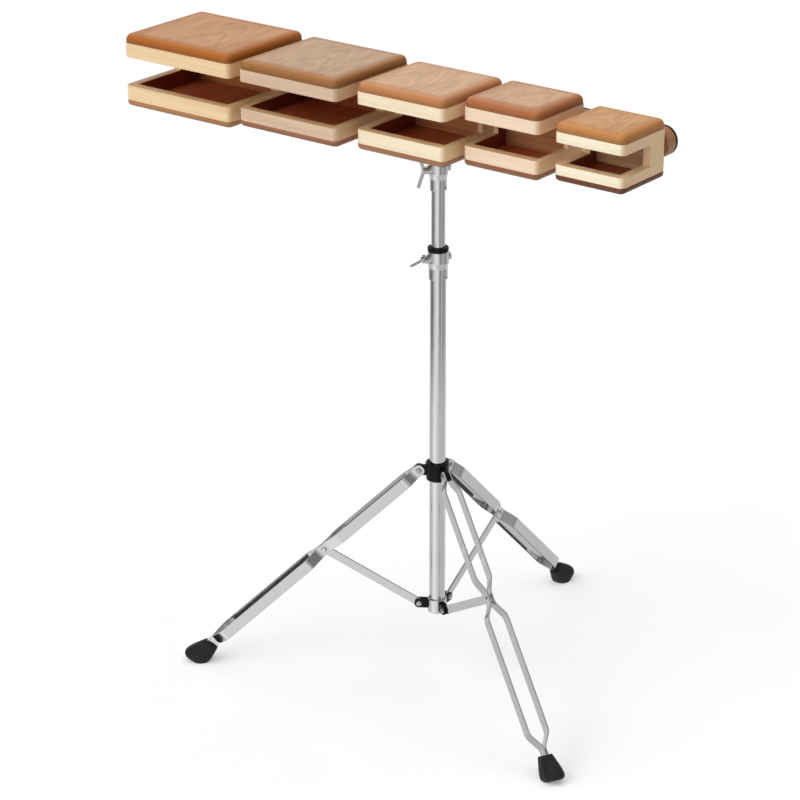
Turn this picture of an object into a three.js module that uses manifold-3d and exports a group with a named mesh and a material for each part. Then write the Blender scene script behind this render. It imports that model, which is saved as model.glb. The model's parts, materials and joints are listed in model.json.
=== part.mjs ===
// Five box temple blocks on a rail, carried by a telescopic mast on a folding double-braced tripod.
// Millimetres, +Z up. X runs along the rail from the lowest block to the highest, Y from the player
// to the back. The origin is on the floor under the middle of the whole object.
import * as THREE from 'three';
import { mergeVertices } from 'three/addons/utils/BufferGeometryUtils.js';
import Module from 'manifold-3d';

// Clearances
const GLUE_LINE = 0.1; // between glued or screwed flat faces
const FIT = 0.3; // between a piece and the bore, slot or lug that holds it

// Blocks, from the largest to the smallest. A mouth is the slot across the front and both sides, and a
// block's drop is how far the middle of its mouth lies below the middle of the rail.
const BLOCKS = [
  { width: 186.5, depth: 158, upperRim: 20, mouth: 39, lowerRim: 20.5, mouthDepth: 99, drop: -1, gap: 14 },
  { width: 164.5, depth: 156, upperRim: 17, mouth: 35.5, lowerRim: 17, mouthDepth: 98, drop: -2.5, gap: 12.5 },
  { width: 141, depth: 132, upperRim: 17.5, mouth: 33, lowerRim: 19, mouthDepth: 83, drop: 1, gap: 9.5 },
  { width: 115.5, depth: 105.5, upperRim: 17.5, mouth: 33.5, lowerRim: 18, mouthDepth: 67, drop: 1, gap: 18 },
  { width: 102.5, depth: 97.5, upperRim: 14, mouth: 28, lowerRim: 13.5, mouthDepth: 63, drop: 4.5, gap: 0 },
];
const BLOCK_WALL = 13;
const BLOCK_BACK_WALL = 22;
const BLOCK_CORNER = 8;
const TOP_PLATE = 12;
const TOP_CORNER = 10;
const TOP_ROUND = 9;
const BOTTOM_PLATE = 8;
const BOTTOM_ROUND = 5;

// Rail behind the blocks: a wooden board with a painted steel strip on its back
const RAIL_HEIGHT = 39;
const RAIL_BOARD = 16;
const RAIL_STRIP = 4;
const RAIL_OVERHANG = 4;
const RAIL_CENTRE_Z = 866.5;
const BRACKET_OFFSET = 6.5; // from the middle of the rail to the mast, along the rail

// Bracket that joins the rail to the top rod
const BRACKET_PLATE = 3;
const BRACKET_WIDTH = 70;
const BRACKET_HEIGHT = 34;
const BRACKET_CORNER = 6;
const SOCKET_WALL = 3;
const SOCKET_HEIGHT = 40;
const SOCKET_WELD = 1.5; // how far the socket sinks into its plate
const SOCKET_BOSS_REACH = 4;

// Screws
const BOLT_RADIUS = 3; // one bolt from the strip into the back wall of each block
const BOLT_GRIP = 12;
const BOLT_HEAD_RADIUS = 6;
const BOLT_HEAD = 4;
const SCREW_RADIUS = 2.5; // two screws hold the bracket
const SCREW_GRIP = 9;
const SCREW_HEAD_RADIUS = 4.5;
const SCREW_HEAD = 3;
const SCREW_SPACING = 46;

// Mast
const BASE_TUBE = 22.2;
const MIDDLE_TUBE = 19;
const TUBE_WALL = 1.2;
const TOP_ROD = 12.7;
const MIDDLE_TUBE_LENGTH = 465;
const TOP_ROD_LENGTH = 325;
const ROD_BELOW_SOCKET_TOP = 2;

// Height clamps on the two tubes
const LOWER_CLAMP_Z = 599; // bottom of the sleeve
const UPPER_CLAMP_Z = 725.5;
const CLAMP_HEIGHT = 40.5;
const CLAMP_SLEEVE = 17; // plain part below the flare
const CLAMP_FLARE = 7;
const CLAMP_SLEEVE_WALL = 1.7;
const CLAMP_HEAD_WALL = 3.1;
const CLAMP_TUBE_DEPTH = 22; // how far the tube runs up into the clamp
const CLAMP_BOLT_Z = 30.5;
const CLAMP_ARCH = 8.5;
const CLAMP_BOSS_RADIUS = 6;
const CLAMP_BOSS_REACH = 3;
const CLAMP_PAD_REACH = 0.6; // the flat for the nut, opposite the boss
const CLAMP_AZIMUTH = 244; // degrees, the side of the wing bolt
const BUSH_FLANGE = 5.5;
const NUT_ACROSS_FLATS = 10;
const NUT_THICKNESS = 3;
const NUT_SIDES = 6;

// Wing bolts
const WING_SHANK = 3;
const WING_HUB_RADIUS = 5.5;
const WING_HUB_TIP = 4;
const WING_HUB_LENGTH = 8;
const WING_REACH = 16; // from the seat along the bolt
const WING_SPREAD = 24; // from the bolt's axis
const WING_LEAN = 60; // degrees, from the bolt's axis to the way a wing points
const WING_TIP = 2.6;
const WING_THICKNESS = 2.6;
const LOWER_WING_ROLL = -54; // degrees about the bolt
const UPPER_WING_ROLL = 0;
const BRACKET_WING_ROLL = 90;

// Tripod
const LEG_AZIMUTHS = { back: 93, left: 213, right: 333 }; // degrees
const FOOT_CIRCLE = 356.5; // radius where the legs' centre lines meet the floor
const LEG_PIVOT_RADIUS = 26;
const LEG_PIVOT_Z = 313.5;
const BRACE_ON_LEG = 186; // from the leg's pivot down to the brace's rivet
const BRACE_PIVOT_RADIUS = 26;
const BRACE_PIVOT_Z = 105.5;
const COLLAR_WALL = 4.6;
const COLLAR_HEIGHT = 26;
const COLLAR_EDGE = 1;
const LUG_THICKNESS = 6;
const LUG_RADIUS = 7.5;
const EAR_THICKNESS = 3;
const EAR_RADIUS = 6.5;
const CUP_WALL = 2.2;
const CUP_HEIGHT = 18;
const CUP_FLOOR = 2.5;
const COLLAR_BOSS_RADIUS = 6;
const COLLAR_BOSS_REACH = 3;
const THUMB_SCREW_AZIMUTH = 153; // degrees
const THUMB_SCREW_SHANK = 2.5;
const KNOB_RADIUS = 6.5;
const KNOB_LENGTH = 9;
const KNOB_EDGE = 1;

// Leg straps, braces and rivets
const STRAP_WIDTH = 16;
const STRAP_THICKNESS = 2;
const STRAP_UPPER_SPREAD = 11.5; // from the leg's middle plane to a strap's middle
const STRAP_LOWER_SPREAD = 14.5;
const TOP_JOGGLE_FROM = 9; // joggles, measured along the leg
const TOP_JOGGLE_TO = 24;
const PINCH_FLAT = 9;
const PINCH_REACH = 29;
const FOOT_JOGGLE = 30;
const STRAP_BEND = 5;
const BRACE_WIDTH = 12;
const BRACE_THICKNESS = 3;
const RIVET_RADIUS = 2.5;
const RIVET_HEAD_RADIUS = 4.2;
const RIVET_HEAD = 1.8;
const HEAD_CROWN = 0.6; // flat on top of a domed head, as a share of the head

// Rubber feet
const FOOT_RISE = 39.5; // from the floor up to the top of the foot, along the leg
const FOOT_GRIP = 26; // how far the straps run into the foot
const FOOT_TILT = 0.25; // how far its sections lean toward level, per millimetre across
const FOOT_CORNER = 0.42; // corner radius of a section, as a share of its narrow side
const FOOT_SECTIONS = [
  { along: 0, depth: 20, width: 17 },
  { along: 1.5, depth: 22.5, width: 19 },
  { along: 10, depth: 28, width: 23 },
  { along: 20, depth: 33.5, width: 27.5 },
  { along: 28, depth: 36, width: 30 },
  { along: 33, depth: 35, width: 29 },
  { along: 36, depth: 30, width: 25 },
  { along: 37, depth: 24, width: 20 },
];

// Smoothness of round shapes
const ROUND = 24;
const SMALL_ROUND = 12;
const CORNER_STEPS = 3;
const BEND_STEPS = 2;

const RIGHT_ANGLE = Math.PI / 2;
const BACK = 90; // azimuth in degrees
const OVERCUT = 1; // how far a cutting shape runs past the face it opens
const radians = THREE.MathUtils.degToRad;

// Sizes that follow from the driving dimensions
const baseRadius = BASE_TUBE / 2;
const middleRadius = MIDDLE_TUBE / 2;
const rodRadius = TOP_ROD / 2;
const socketRadius = rodRadius + FIT + SOCKET_WALL;
const plateBackY = SOCKET_WELD - socketRadius;
const stripBackY = plateBackY - BRACKET_PLATE - GLUE_LINE;
const boardBackY = stripBackY - RAIL_STRIP - GLUE_LINE;
const blockBackY = boardBackY - RAIL_BOARD - GLUE_LINE;
const rowLength = BLOCKS.reduce((sum, block) => sum + block.width + block.gap, 0);
const railLength = rowLength + 2 * RAIL_OVERHANG;
const rowLeft = -BRACKET_OFFSET - rowLength / 2;
const collarRadius = baseRadius + FIT + COLLAR_WALL;
const legAngle = Math.atan2(FOOT_CIRCLE - LEG_PIVOT_RADIUS, LEG_PIVOT_Z); // from the vertical
const footTop = LEG_PIVOT_Z / Math.cos(legAngle) - FOOT_RISE; // along the leg from its pivot
const rivetPlace = new THREE.Vector2(
  LEG_PIVOT_RADIUS + BRACE_ON_LEG * Math.sin(legAngle),
  LEG_PIVOT_Z - BRACE_ON_LEG * Math.cos(legAngle),
);
const braceRise = rivetPlace.y - BRACE_PIVOT_Z;
const braceRun = rivetPlace.x - BRACE_PIVOT_RADIUS;
const braceLength = Math.hypot(braceRun, braceRise);

const wasm = await Module();
wasm.setup();

const MERGE_DISTANCE = 1e-4;

// A closed geometry as a solid, with shared corners merged and flat slivers left out
function solidFrom(geometry) {
  const bare = new THREE.BufferGeometry();
  bare.setAttribute('position', geometry.getAttribute('position'));
  bare.setIndex(geometry.getIndex());
  const merged = mergeVertices(bare, MERGE_DISTANCE);
  const index = merged.getIndex().array;
  const triangles = [];
  for (let i = 0; i < index.length; i += 3) {
    const corners = [index[i], index[i + 1], index[i + 2]];
    if (new Set(corners).size === corners.length) triangles.push(...corners);
  }
  return new wasm.Manifold(new wasm.Mesh({
    numProp: 3,
    vertProperties: new Float32Array(merged.getAttribute('position').array),
    triVerts: new Uint32Array(triangles),
  }));
}

function geometryFrom(solid) {
  const mesh = solid.getMesh();
  const geometry = new THREE.BufferGeometry();
  geometry.setAttribute('position', new THREE.BufferAttribute(mesh.vertProperties, 3));
  geometry.setIndex(new THREE.BufferAttribute(mesh.triVerts, 1));
  geometry.computeVertexNormals();
  return geometry;
}

function combine(first, others, operation) {
  const result = others.reduce((solid, other) => solid[operation](solidFrom(other)), solidFrom(first));
  return geometryFrom(result);
}

const join = (first, ...others) => combine(first, others, 'add');
const cut = (first, ...others) => combine(first, others, 'subtract');
const common = (first, ...others) => combine(first, others, 'intersect');

// A box between two corners
function box(low, high) {
  const size = high.map((value, axis) => value - low[axis]);
  const middle = high.map((value, axis) => (value + low[axis]) / 2);
  return new THREE.BoxGeometry(...size).translate(...middle);
}

// A turned piece about Z. The profile is a list of [radius, z], outer side upward.
function turned(profile, segments = ROUND) {
  const points = profile.map(([radius, z]) => new THREE.Vector2(radius, z));
  return new THREE.LatheGeometry(points, segments).rotateX(RIGHT_ANGLE);
}

function rod(radius, from, to, segments = SMALL_ROUND) {
  return turned([[0, from], [radius, from], [radius, to], [0, to]], segments);
}

function tube(outer, inner, from, to) {
  return turned([[inner, from], [outer, from], [outer, to], [inner, to], [inner, from]]);
}

// Turns a piece made along Z so that it points along +X, or level at an azimuth in degrees
const alongX = (geometry) => geometry.rotateY(RIGHT_ANGLE);
const alongY = (geometry) => geometry.rotateX(-RIGHT_ANGLE);
const radial = (geometry, azimuth) => alongX(geometry).rotateZ(radians(azimuth));

// A plate whose outline lies in the XZ plane, centred on a Y
function plate(shape, thickness, y = 0) {
  const geometry = new THREE.ExtrudeGeometry(shape, {
    depth: thickness,
    bevelEnabled: false,
    curveSegments: SMALL_ROUND / 2,
  });
  return geometry.rotateX(RIGHT_ANGLE).translate(0, y + thickness / 2, 0);
}

// A bar with round ends along X from 0 to a length, which are the centres of its ends
function barShape(length, radius) {
  const shape = new THREE.Shape();
  shape.absarc(length, 0, radius, -RIGHT_ANGLE, RIGHT_ANGLE, false);
  shape.absarc(0, 0, radius, RIGHT_ANGLE, RIGHT_ANGLE + Math.PI, false);
  return shape;
}

function roundedRectangle(width, depth, radius, steps = CORNER_STEPS) {
  const points = [];
  const centres = [[1, 1], [-1, 1], [-1, -1], [1, -1]];
  centres.forEach(([signX, signY], corner) => {
    for (let step = 0; step <= steps; step += 1) {
      const angle = RIGHT_ANGLE * (corner + step / steps);
      const x = signX * (width / 2 - radius) + radius * Math.cos(angle);
      const y = signY * (depth / 2 - radius) + radius * Math.sin(angle);
      points.push(new THREE.Vector2(x, y));
    }
  });
  return points;
}

// A closed skin through rings of equal point counts, listed from low to high along their axis
function loft(rings) {
  const count = rings[0].length;
  const positions = [];
  const index = [];
  const addPoint = (point) => positions.push(point.x, point.y, point.z);
  rings.forEach((ring) => ring.forEach(addPoint));
  for (let level = 0; level + 1 < rings.length; level += 1) {
    for (let i = 0; i < count; i += 1) {
      const next = (i + 1) % count;
      const [a, b] = [level * count + i, level * count + next];
      index.push(a, b, b + count, a, b + count, a + count);
    }
  }
  const last = (rings.length - 1) * count;
  for (let i = 1; i + 1 < count; i += 1) {
    index.push(0, i + 1, i, last, last + i, last + i + 1);
  }
  const geometry = new THREE.BufferGeometry();
  geometry.setAttribute('position', new THREE.Float32BufferAttribute(positions, 3));
  geometry.setIndex(index);
  return geometryFrom(solidFrom(geometry));
}

// A slab with round vertical corners whose upper edges are rounded over
function roundedSlab(width, depth, thickness, corner, round) {
  const ring = (inset, z) => roundedRectangle(width - 2 * inset, depth - 2 * inset, corner)
    .map((point) => new THREE.Vector3(point.x, point.y, z));
  const rings = [ring(0, 0)];
  for (let step = 0; step <= CORNER_STEPS; step += 1) {
    const angle = RIGHT_ANGLE * step / CORNER_STEPS;
    rings.push(ring(round * (1 - Math.cos(angle)), thickness - round * (1 - Math.sin(angle))));
  }
  return loft(rings);
}

// Materials
const finish = (color, roughness, metalness = 0) => (
  new THREE.MeshStandardMaterial({ color, roughness, metalness })
);
const cherry = finish(0xc08a5a, 0.45);
const maple = finish(0xe9d3a6, 0.5);
const chrome = finish(0xd4d6d9, 0.12, 1);
const steel = finish(0xb4b6b8, 0.35, 1);
const blackPaint = finish(0x17181a, 0.5, 0.4);
const blackNylon = finish(0x141416, 0.55);
const blackRubber = finish(0x1d1d1f, 0.8);

function part(name, geometry, material) {
  const mesh = new THREE.Mesh(geometry, material);
  mesh.name = name;
  return mesh;
}

// One block, with its back at Y = 0 and the middle of its mouth at Z = 0, which lies at mouthZ on the rail
function makeBlock(size, name, mouthZ) {
  const { width, depth, upperRim, mouth, lowerRim, mouthDepth } = size;
  const top = mouth / 2 + upperRim;
  const bottom = -mouth / 2 - lowerRim;
  const outer = new THREE.ExtrudeGeometry(
    new THREE.Shape(roundedRectangle(width, depth, BLOCK_CORNER)),
    { depth: top - bottom, bevelEnabled: false },
  ).translate(0, -depth / 2, bottom);
  const innerX = width / 2 - BLOCK_WALL;
  const cavity = box(
    [-innerX, BLOCK_WALL - depth, bottom - OVERCUT],
    [innerX, -BLOCK_BACK_WALL, top + OVERCUT],
  );
  const slot = box([-width, -2 * depth, -mouth / 2], [width, mouthDepth - depth, mouth / 2]);
  const boltHole = alongY(rod(BOLT_RADIUS + FIT, -BOLT_GRIP - FIT, OVERCUT)).translate(0, 0, -mouthZ);
  const topPlate = roundedSlab(width, depth, TOP_PLATE, TOP_CORNER, TOP_ROUND)
    .translate(0, -depth / 2, top + GLUE_LINE);
  const bottomPlate = roundedSlab(width, depth, BOTTOM_PLATE, BLOCK_CORNER, BOTTOM_ROUND)
    .rotateX(Math.PI)
    .translate(0, -depth / 2, bottom - GLUE_LINE);
  const block = new THREE.Group();
  block.add(part(`${name}_body`, cut(outer, cavity, slot, boltHole), maple));
  block.add(part(`${name}_top_plate`, topPlate, cherry));
  block.add(part(`${name}_bottom_plate`, bottomPlate, cherry));
  return block;
}

// A round-headed fastener that points along -Y, with the seat of its head at Y = 0
function screw(radius, length, headRadius, head) {
  const profile = [
    [0, -length], [radius, -length], [radius, 0], [headRadius, 0],
    [headRadius, head / 2], [headRadius * HEAD_CROWN, head], [0, head],
  ];
  return alongY(turned(profile, SMALL_ROUND));
}

// Rail, blocks, bracket and their screws, about the mast axis with the rail's middle at Z = 0
function makeRail() {
  const rail = new THREE.Group();
  rail.position.z = RAIL_CENTRE_Z;
  const railLeft = rowLeft - RAIL_OVERHANG;
  const endRadius = RAIL_HEIGHT / 2;
  const outline = barShape(railLength - 2 * endRadius, endRadius);
  const slab = (thickness, backY) => plate(outline, thickness, backY - thickness / 2)
    .translate(railLeft + endRadius, 0, 0);

  const boltHoles = [];
  let left = rowLeft;
  BLOCKS.forEach((size, index) => {
    const name = `block_${index + 1}`;
    const middle = left + size.width / 2;
    const block = makeBlock(size, name, -size.drop);
    block.position.set(middle, blockBackY, -size.drop);
    rail.add(block);
    const boltLength = stripBackY + GLUE_LINE - blockBackY + BOLT_GRIP;
    const bolt = part(`${name}_bolt`, screw(BOLT_RADIUS, boltLength, BOLT_HEAD_RADIUS, BOLT_HEAD), steel);
    bolt.position.set(middle, stripBackY + GLUE_LINE, 0);
    rail.add(bolt);
    boltHoles.push(alongY(rod(BOLT_RADIUS + FIT, 2 * blockBackY, 0)).translate(middle, 0, 0));
    left += size.width + size.gap;
  });

  const screwHoles = [-1, 1].map((side) => (
    alongY(rod(SCREW_RADIUS + FIT, boardBackY - SCREW_GRIP - FIT, 0))
      .translate(side * SCREW_SPACING / 2, 0, 0)
  ));
  rail.add(part('rail_board', cut(slab(RAIL_BOARD, boardBackY), ...boltHoles, ...screwHoles), cherry));
  rail.add(part('rail_strip', cut(slab(RAIL_STRIP, stripBackY), ...boltHoles, ...screwHoles), blackPaint));

  const bracketPlate = new THREE.ExtrudeGeometry(
    new THREE.Shape(roundedRectangle(BRACKET_WIDTH, BRACKET_HEIGHT, BRACKET_CORNER)),
    { depth: BRACKET_PLATE, bevelEnabled: false },
  ).rotateX(RIGHT_ANGLE).translate(0, plateBackY, 0);
  const socket = rod(socketRadius, -SOCKET_HEIGHT / 2, SOCKET_HEIGHT / 2, ROUND);
  const boss = radial(rod(CLAMP_BOSS_RADIUS, 0, socketRadius + SOCKET_BOSS_REACH), BACK);
  const bore = rod(rodRadius + FIT, -SOCKET_HEIGHT, SOCKET_HEIGHT, ROUND);
  const bossHole = radial(rod(WING_SHANK + FIT, 0, 2 * socketRadius + SOCKET_BOSS_REACH), BACK);
  const bracket = cut(join(bracketPlate, socket, boss), bore, bossHole, ...screwHoles);
  rail.add(part('rail_bracket', bracket, blackPaint));
  for (const [side, name] of [[-1, 'left'], [1, 'right']]) {
    const length = plateBackY + GLUE_LINE - boardBackY + SCREW_GRIP;
    const shape = screw(SCREW_RADIUS, length, SCREW_HEAD_RADIUS, SCREW_HEAD);
    const fixing = part(`bracket_screw_${name}`, shape, steel);
    fixing.position.set(side * SCREW_SPACING / 2, plateBackY + GLUE_LINE, 0);
    rail.add(fixing);
  }
  const wing = wingBolt(rodRadius + FIT, socketRadius + SOCKET_BOSS_REACH + FIT, BRACKET_WING_ROLL);
  rail.add(part('bracket_wing_bolt', wing.rotateZ(RIGHT_ANGLE), chrome));
  return rail;
}

// A wing bolt along +X from its tip to its wings, seated where its hub starts
function wingBolt(tip, seat, roll) {
  const profile = [
    [0, tip], [WING_SHANK, tip], [WING_SHANK, seat], [WING_HUB_RADIUS, seat],
    [WING_HUB_TIP, seat + WING_HUB_LENGTH], [0, seat + WING_HUB_LENGTH],
  ];
  const shape = new THREE.Shape();
  const tipX = seat + WING_REACH - WING_TIP;
  const lean = radians(WING_LEAN);
  shape.absarc(tipX, WING_SPREAD - WING_TIP, WING_TIP, lean + RIGHT_ANGLE, lean - RIGHT_ANGLE, true);
  shape.lineTo(seat + WING_HUB_LENGTH, 0);
  shape.lineTo(seat + WING_THICKNESS, 0);
  const wing = plate(shape, WING_THICKNESS);
  const hub = alongX(turned(profile, SMALL_ROUND));
  return join(hub, wing, wing.clone().rotateX(Math.PI)).rotateX(radians(roll));
}

// A height clamp on the top of a tube, about the mast axis with the bottom of its sleeve at Z = 0
function makeClamp(name, tubeRadius, innerRadius, wingRoll) {
  const bore = tubeRadius + FIT;
  const sleeve = bore + CLAMP_SLEEVE_WALL;
  const head = bore + CLAMP_HEAD_WALL;
  const bossEnd = head + CLAMP_BOSS_REACH;
  const padEnd = head + CLAMP_PAD_REACH;
  const body = turned([
    [bore, 0], [sleeve, 0], [sleeve, CLAMP_SLEEVE], [head, CLAMP_SLEEVE + CLAMP_FLARE],
    [head, CLAMP_HEIGHT], [bore, CLAMP_HEIGHT], [bore, 0],
  ]);
  const boss = radial(rod(CLAMP_BOSS_RADIUS, -padEnd, bossEnd), CLAMP_AZIMUTH);
  const through = rod(bore, 0, CLAMP_HEIGHT, ROUND);
  const bossHole = radial(rod(WING_SHANK + FIT, -2 * bossEnd, 2 * bossEnd), CLAMP_AZIMUTH);
  const arch = radial(rod(CLAMP_ARCH, -2 * bossEnd, 2 * bossEnd, ROUND), CLAMP_AZIMUTH + 90);
  const raise = (geometry) => geometry.translate(0, 0, CLAMP_BOLT_Z);
  const casting = cut(join(body, raise(boss)), through, raise(bossHole), arch);

  const bushBore = innerRadius + FIT;
  const neck = bore - FIT;
  const flangeFrom = CLAMP_HEIGHT + GLUE_LINE;
  const bush = turned([
    [bushBore, CLAMP_TUBE_DEPTH + FIT], [neck, CLAMP_TUBE_DEPTH + FIT], [neck, flangeFrom],
    [head, flangeFrom], [head, flangeFrom + BUSH_FLANGE], [bushBore, flangeFrom + BUSH_FLANGE],
    [bushBore, CLAMP_TUBE_DEPTH + FIT],
  ]);

  const nutRadius = NUT_ACROSS_FLATS / Math.sqrt(3);
  const nutEnd = padEnd + FIT + NUT_THICKNESS;
  const hexagon = rod(nutRadius, padEnd + FIT, nutEnd, NUT_SIDES);
  const stud = rod(WING_SHANK, bore, nutEnd);
  const nut = radial(join(hexagon, stud), CLAMP_AZIMUTH + 180);
  const wing = wingBolt(bore, bossEnd + FIT, wingRoll).rotateZ(radians(CLAMP_AZIMUTH));

  const clamp = new THREE.Group();
  clamp.add(part(`${name}_clamp_body`, casting, chrome));
  clamp.add(part(`${name}_clamp_bush`, bush, blackNylon));
  clamp.add(part(`${name}_clamp_nut`, raise(nut), chrome));
  clamp.add(part(`${name}_clamp_wing_bolt`, raise(wing), chrome));
  return clamp;
}

// Base tube, middle tube and top rod with their clamps
function makeMast() {
  const mast = new THREE.Group();
  const baseFrom = BRACE_PIVOT_Z - CUP_HEIGHT / 2 + FIT;
  const baseTo = LOWER_CLAMP_Z + CLAMP_TUBE_DEPTH;
  const middleTo = UPPER_CLAMP_Z + CLAMP_TUBE_DEPTH;
  const rodTo = RAIL_CENTRE_Z + SOCKET_HEIGHT / 2 - ROD_BELOW_SOCKET_TOP;
  const baseTube = tube(baseRadius, baseRadius - TUBE_WALL, baseFrom, baseTo);
  const middleTube = tube(middleRadius, middleRadius - TUBE_WALL, middleTo - MIDDLE_TUBE_LENGTH, middleTo);
  mast.add(part('base_tube', baseTube, chrome));
  mast.add(part('middle_tube', middleTube, chrome));
  mast.add(part('top_rod', rod(rodRadius, rodTo - TOP_ROD_LENGTH, rodTo, ROUND), chrome));
  const lowerClamp = makeClamp('lower', baseRadius, middleRadius, LOWER_WING_ROLL);
  lowerClamp.position.z = LOWER_CLAMP_Z;
  const upperClamp = makeClamp('upper', middleRadius, rodRadius, UPPER_WING_ROLL);
  upperClamp.position.z = UPPER_CLAMP_Z;
  mast.add(lowerClamp, upperClamp);
  return mast;
}

// A plate that reaches out from a collar's wall along +X to a round end with a rivet hole
function lug(wall, reach, radius, thickness, y) {
  const shape = new THREE.Shape();
  const root = baseRadius + FIT + wall / 2;
  shape.absarc(reach, 0, radius, -RIGHT_ANGLE, RIGHT_ANGLE, false);
  shape.lineTo(root, radius);
  shape.lineTo(root, -radius);
  const hole = alongY(rod(RIVET_RADIUS + FIT, y - thickness, y + thickness)).translate(reach, 0, 0);
  return cut(plate(shape, thickness, y), hole);
}

// A rivet across Y with a domed head at each end of its grip
function rivet(grip) {
  const half = grip / 2;
  const crown = RIVET_HEAD_RADIUS * HEAD_CROWN;
  const profile = [
    [0, -half - RIVET_HEAD], [crown, -half - RIVET_HEAD], [RIVET_HEAD_RADIUS, -half],
    [RIVET_RADIUS, -half], [RIVET_RADIUS, half], [RIVET_HEAD_RADIUS, half],
    [crown, half + RIVET_HEAD], [0, half + RIVET_HEAD],
  ];
  return alongY(turned(profile, SMALL_ROUND));
}

// Collar that slides on the base tube and carries the legs, with its middle at Z = 0
function makeLegCollar() {
  const inner = baseRadius + FIT;
  const half = COLLAR_HEIGHT / 2;
  const ring = turned([
    [inner, -half], [collarRadius - COLLAR_EDGE, -half], [collarRadius, COLLAR_EDGE - half],
    [collarRadius, half - COLLAR_EDGE], [collarRadius - COLLAR_EDGE, half], [inner, half], [inner, -half],
  ]);
  const lugs = Object.values(LEG_AZIMUTHS).map((azimuth) => (
    lug(COLLAR_WALL, LEG_PIVOT_RADIUS, LUG_RADIUS, LUG_THICKNESS, 0).rotateZ(radians(azimuth))
  ));
  const bossEnd = collarRadius + COLLAR_BOSS_REACH;
  const boss = radial(rod(COLLAR_BOSS_RADIUS, inner + COLLAR_WALL / 2, bossEnd), THUMB_SCREW_AZIMUTH);
  const bossHole = radial(rod(THUMB_SCREW_SHANK + FIT, 0, 2 * bossEnd), THUMB_SCREW_AZIMUTH);
  const knobFrom = bossEnd + FIT;
  const knobTo = knobFrom + KNOB_LENGTH;
  const thumbScrew = radial(turned([
    [0, inner], [THUMB_SCREW_SHANK, inner], [THUMB_SCREW_SHANK, knobFrom],
    [KNOB_RADIUS - KNOB_EDGE, knobFrom], [KNOB_RADIUS, knobFrom + KNOB_EDGE],
    [KNOB_RADIUS, knobTo - KNOB_EDGE], [KNOB_RADIUS - KNOB_EDGE, knobTo], [0, knobTo],
  ], SMALL_ROUND), THUMB_SCREW_AZIMUTH);
  const collar = new THREE.Group();
  collar.position.z = LEG_PIVOT_Z;
  collar.add(part('leg_collar', cut(join(ring, ...lugs, boss), bossHole), blackNylon));
  collar.add(part('collar_thumb_screw', thumbScrew, chrome));
  return collar;
}

// Cup that is fixed to the foot of the base tube and carries the braces, with its middle at Z = 0
function makeBraceCollar() {
  const inner = baseRadius + FIT;
  const outer = inner + CUP_WALL;
  const half = CUP_HEIGHT / 2;
  const bottom = -half - CUP_FLOOR;
  const cup = turned([
    [0, bottom], [outer - COLLAR_EDGE, bottom], [outer, bottom + COLLAR_EDGE], [outer, half - COLLAR_EDGE],
    [outer - COLLAR_EDGE, half], [inner, half], [inner, -half], [0, -half],
  ]);
  const earY = BRACE_THICKNESS / 2 + FIT + EAR_THICKNESS / 2;
  const ears = Object.values(LEG_AZIMUTHS).flatMap((azimuth) => [-earY, earY].map((y) => (
    lug(CUP_WALL, BRACE_PIVOT_RADIUS, EAR_RADIUS, EAR_THICKNESS, y).rotateZ(radians(azimuth))
  )));
  const collar = part('brace_collar', join(cup, ...ears), chrome);
  collar.position.z = BRACE_PIVOT_Z;
  return collar;
}

// A path with its inner corners eased by short curves
function easedPath(points, ease) {
  const eased = [points[0]];
  for (let i = 1; i + 1 < points.length; i += 1) {
    const toward = (other) => points[i].clone().lerp(other, ease / points[i].distanceTo(other));
    const bend = new THREE.QuadraticBezierCurve(toward(points[i - 1]), points[i], toward(points[i + 1]));
    eased.push(...bend.getPoints(BEND_STEPS));
  }
  eased.push(points[points.length - 1]);
  return eased;
}

// The outline of a strip of even thickness along a path
function stripOutline(path, thickness) {
  const offset = (side) => path.map((point, i) => {
    const before = path[Math.max(i - 1, 0)];
    const after = path[Math.min(i + 1, path.length - 1)];
    const along = after.clone().sub(before).normalize();
    return new THREE.Vector2(-along.y, along.x).multiplyScalar(side * thickness / 2).add(point);
  });
  return [...offset(-1), ...offset(1).reverse()];
}

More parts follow.
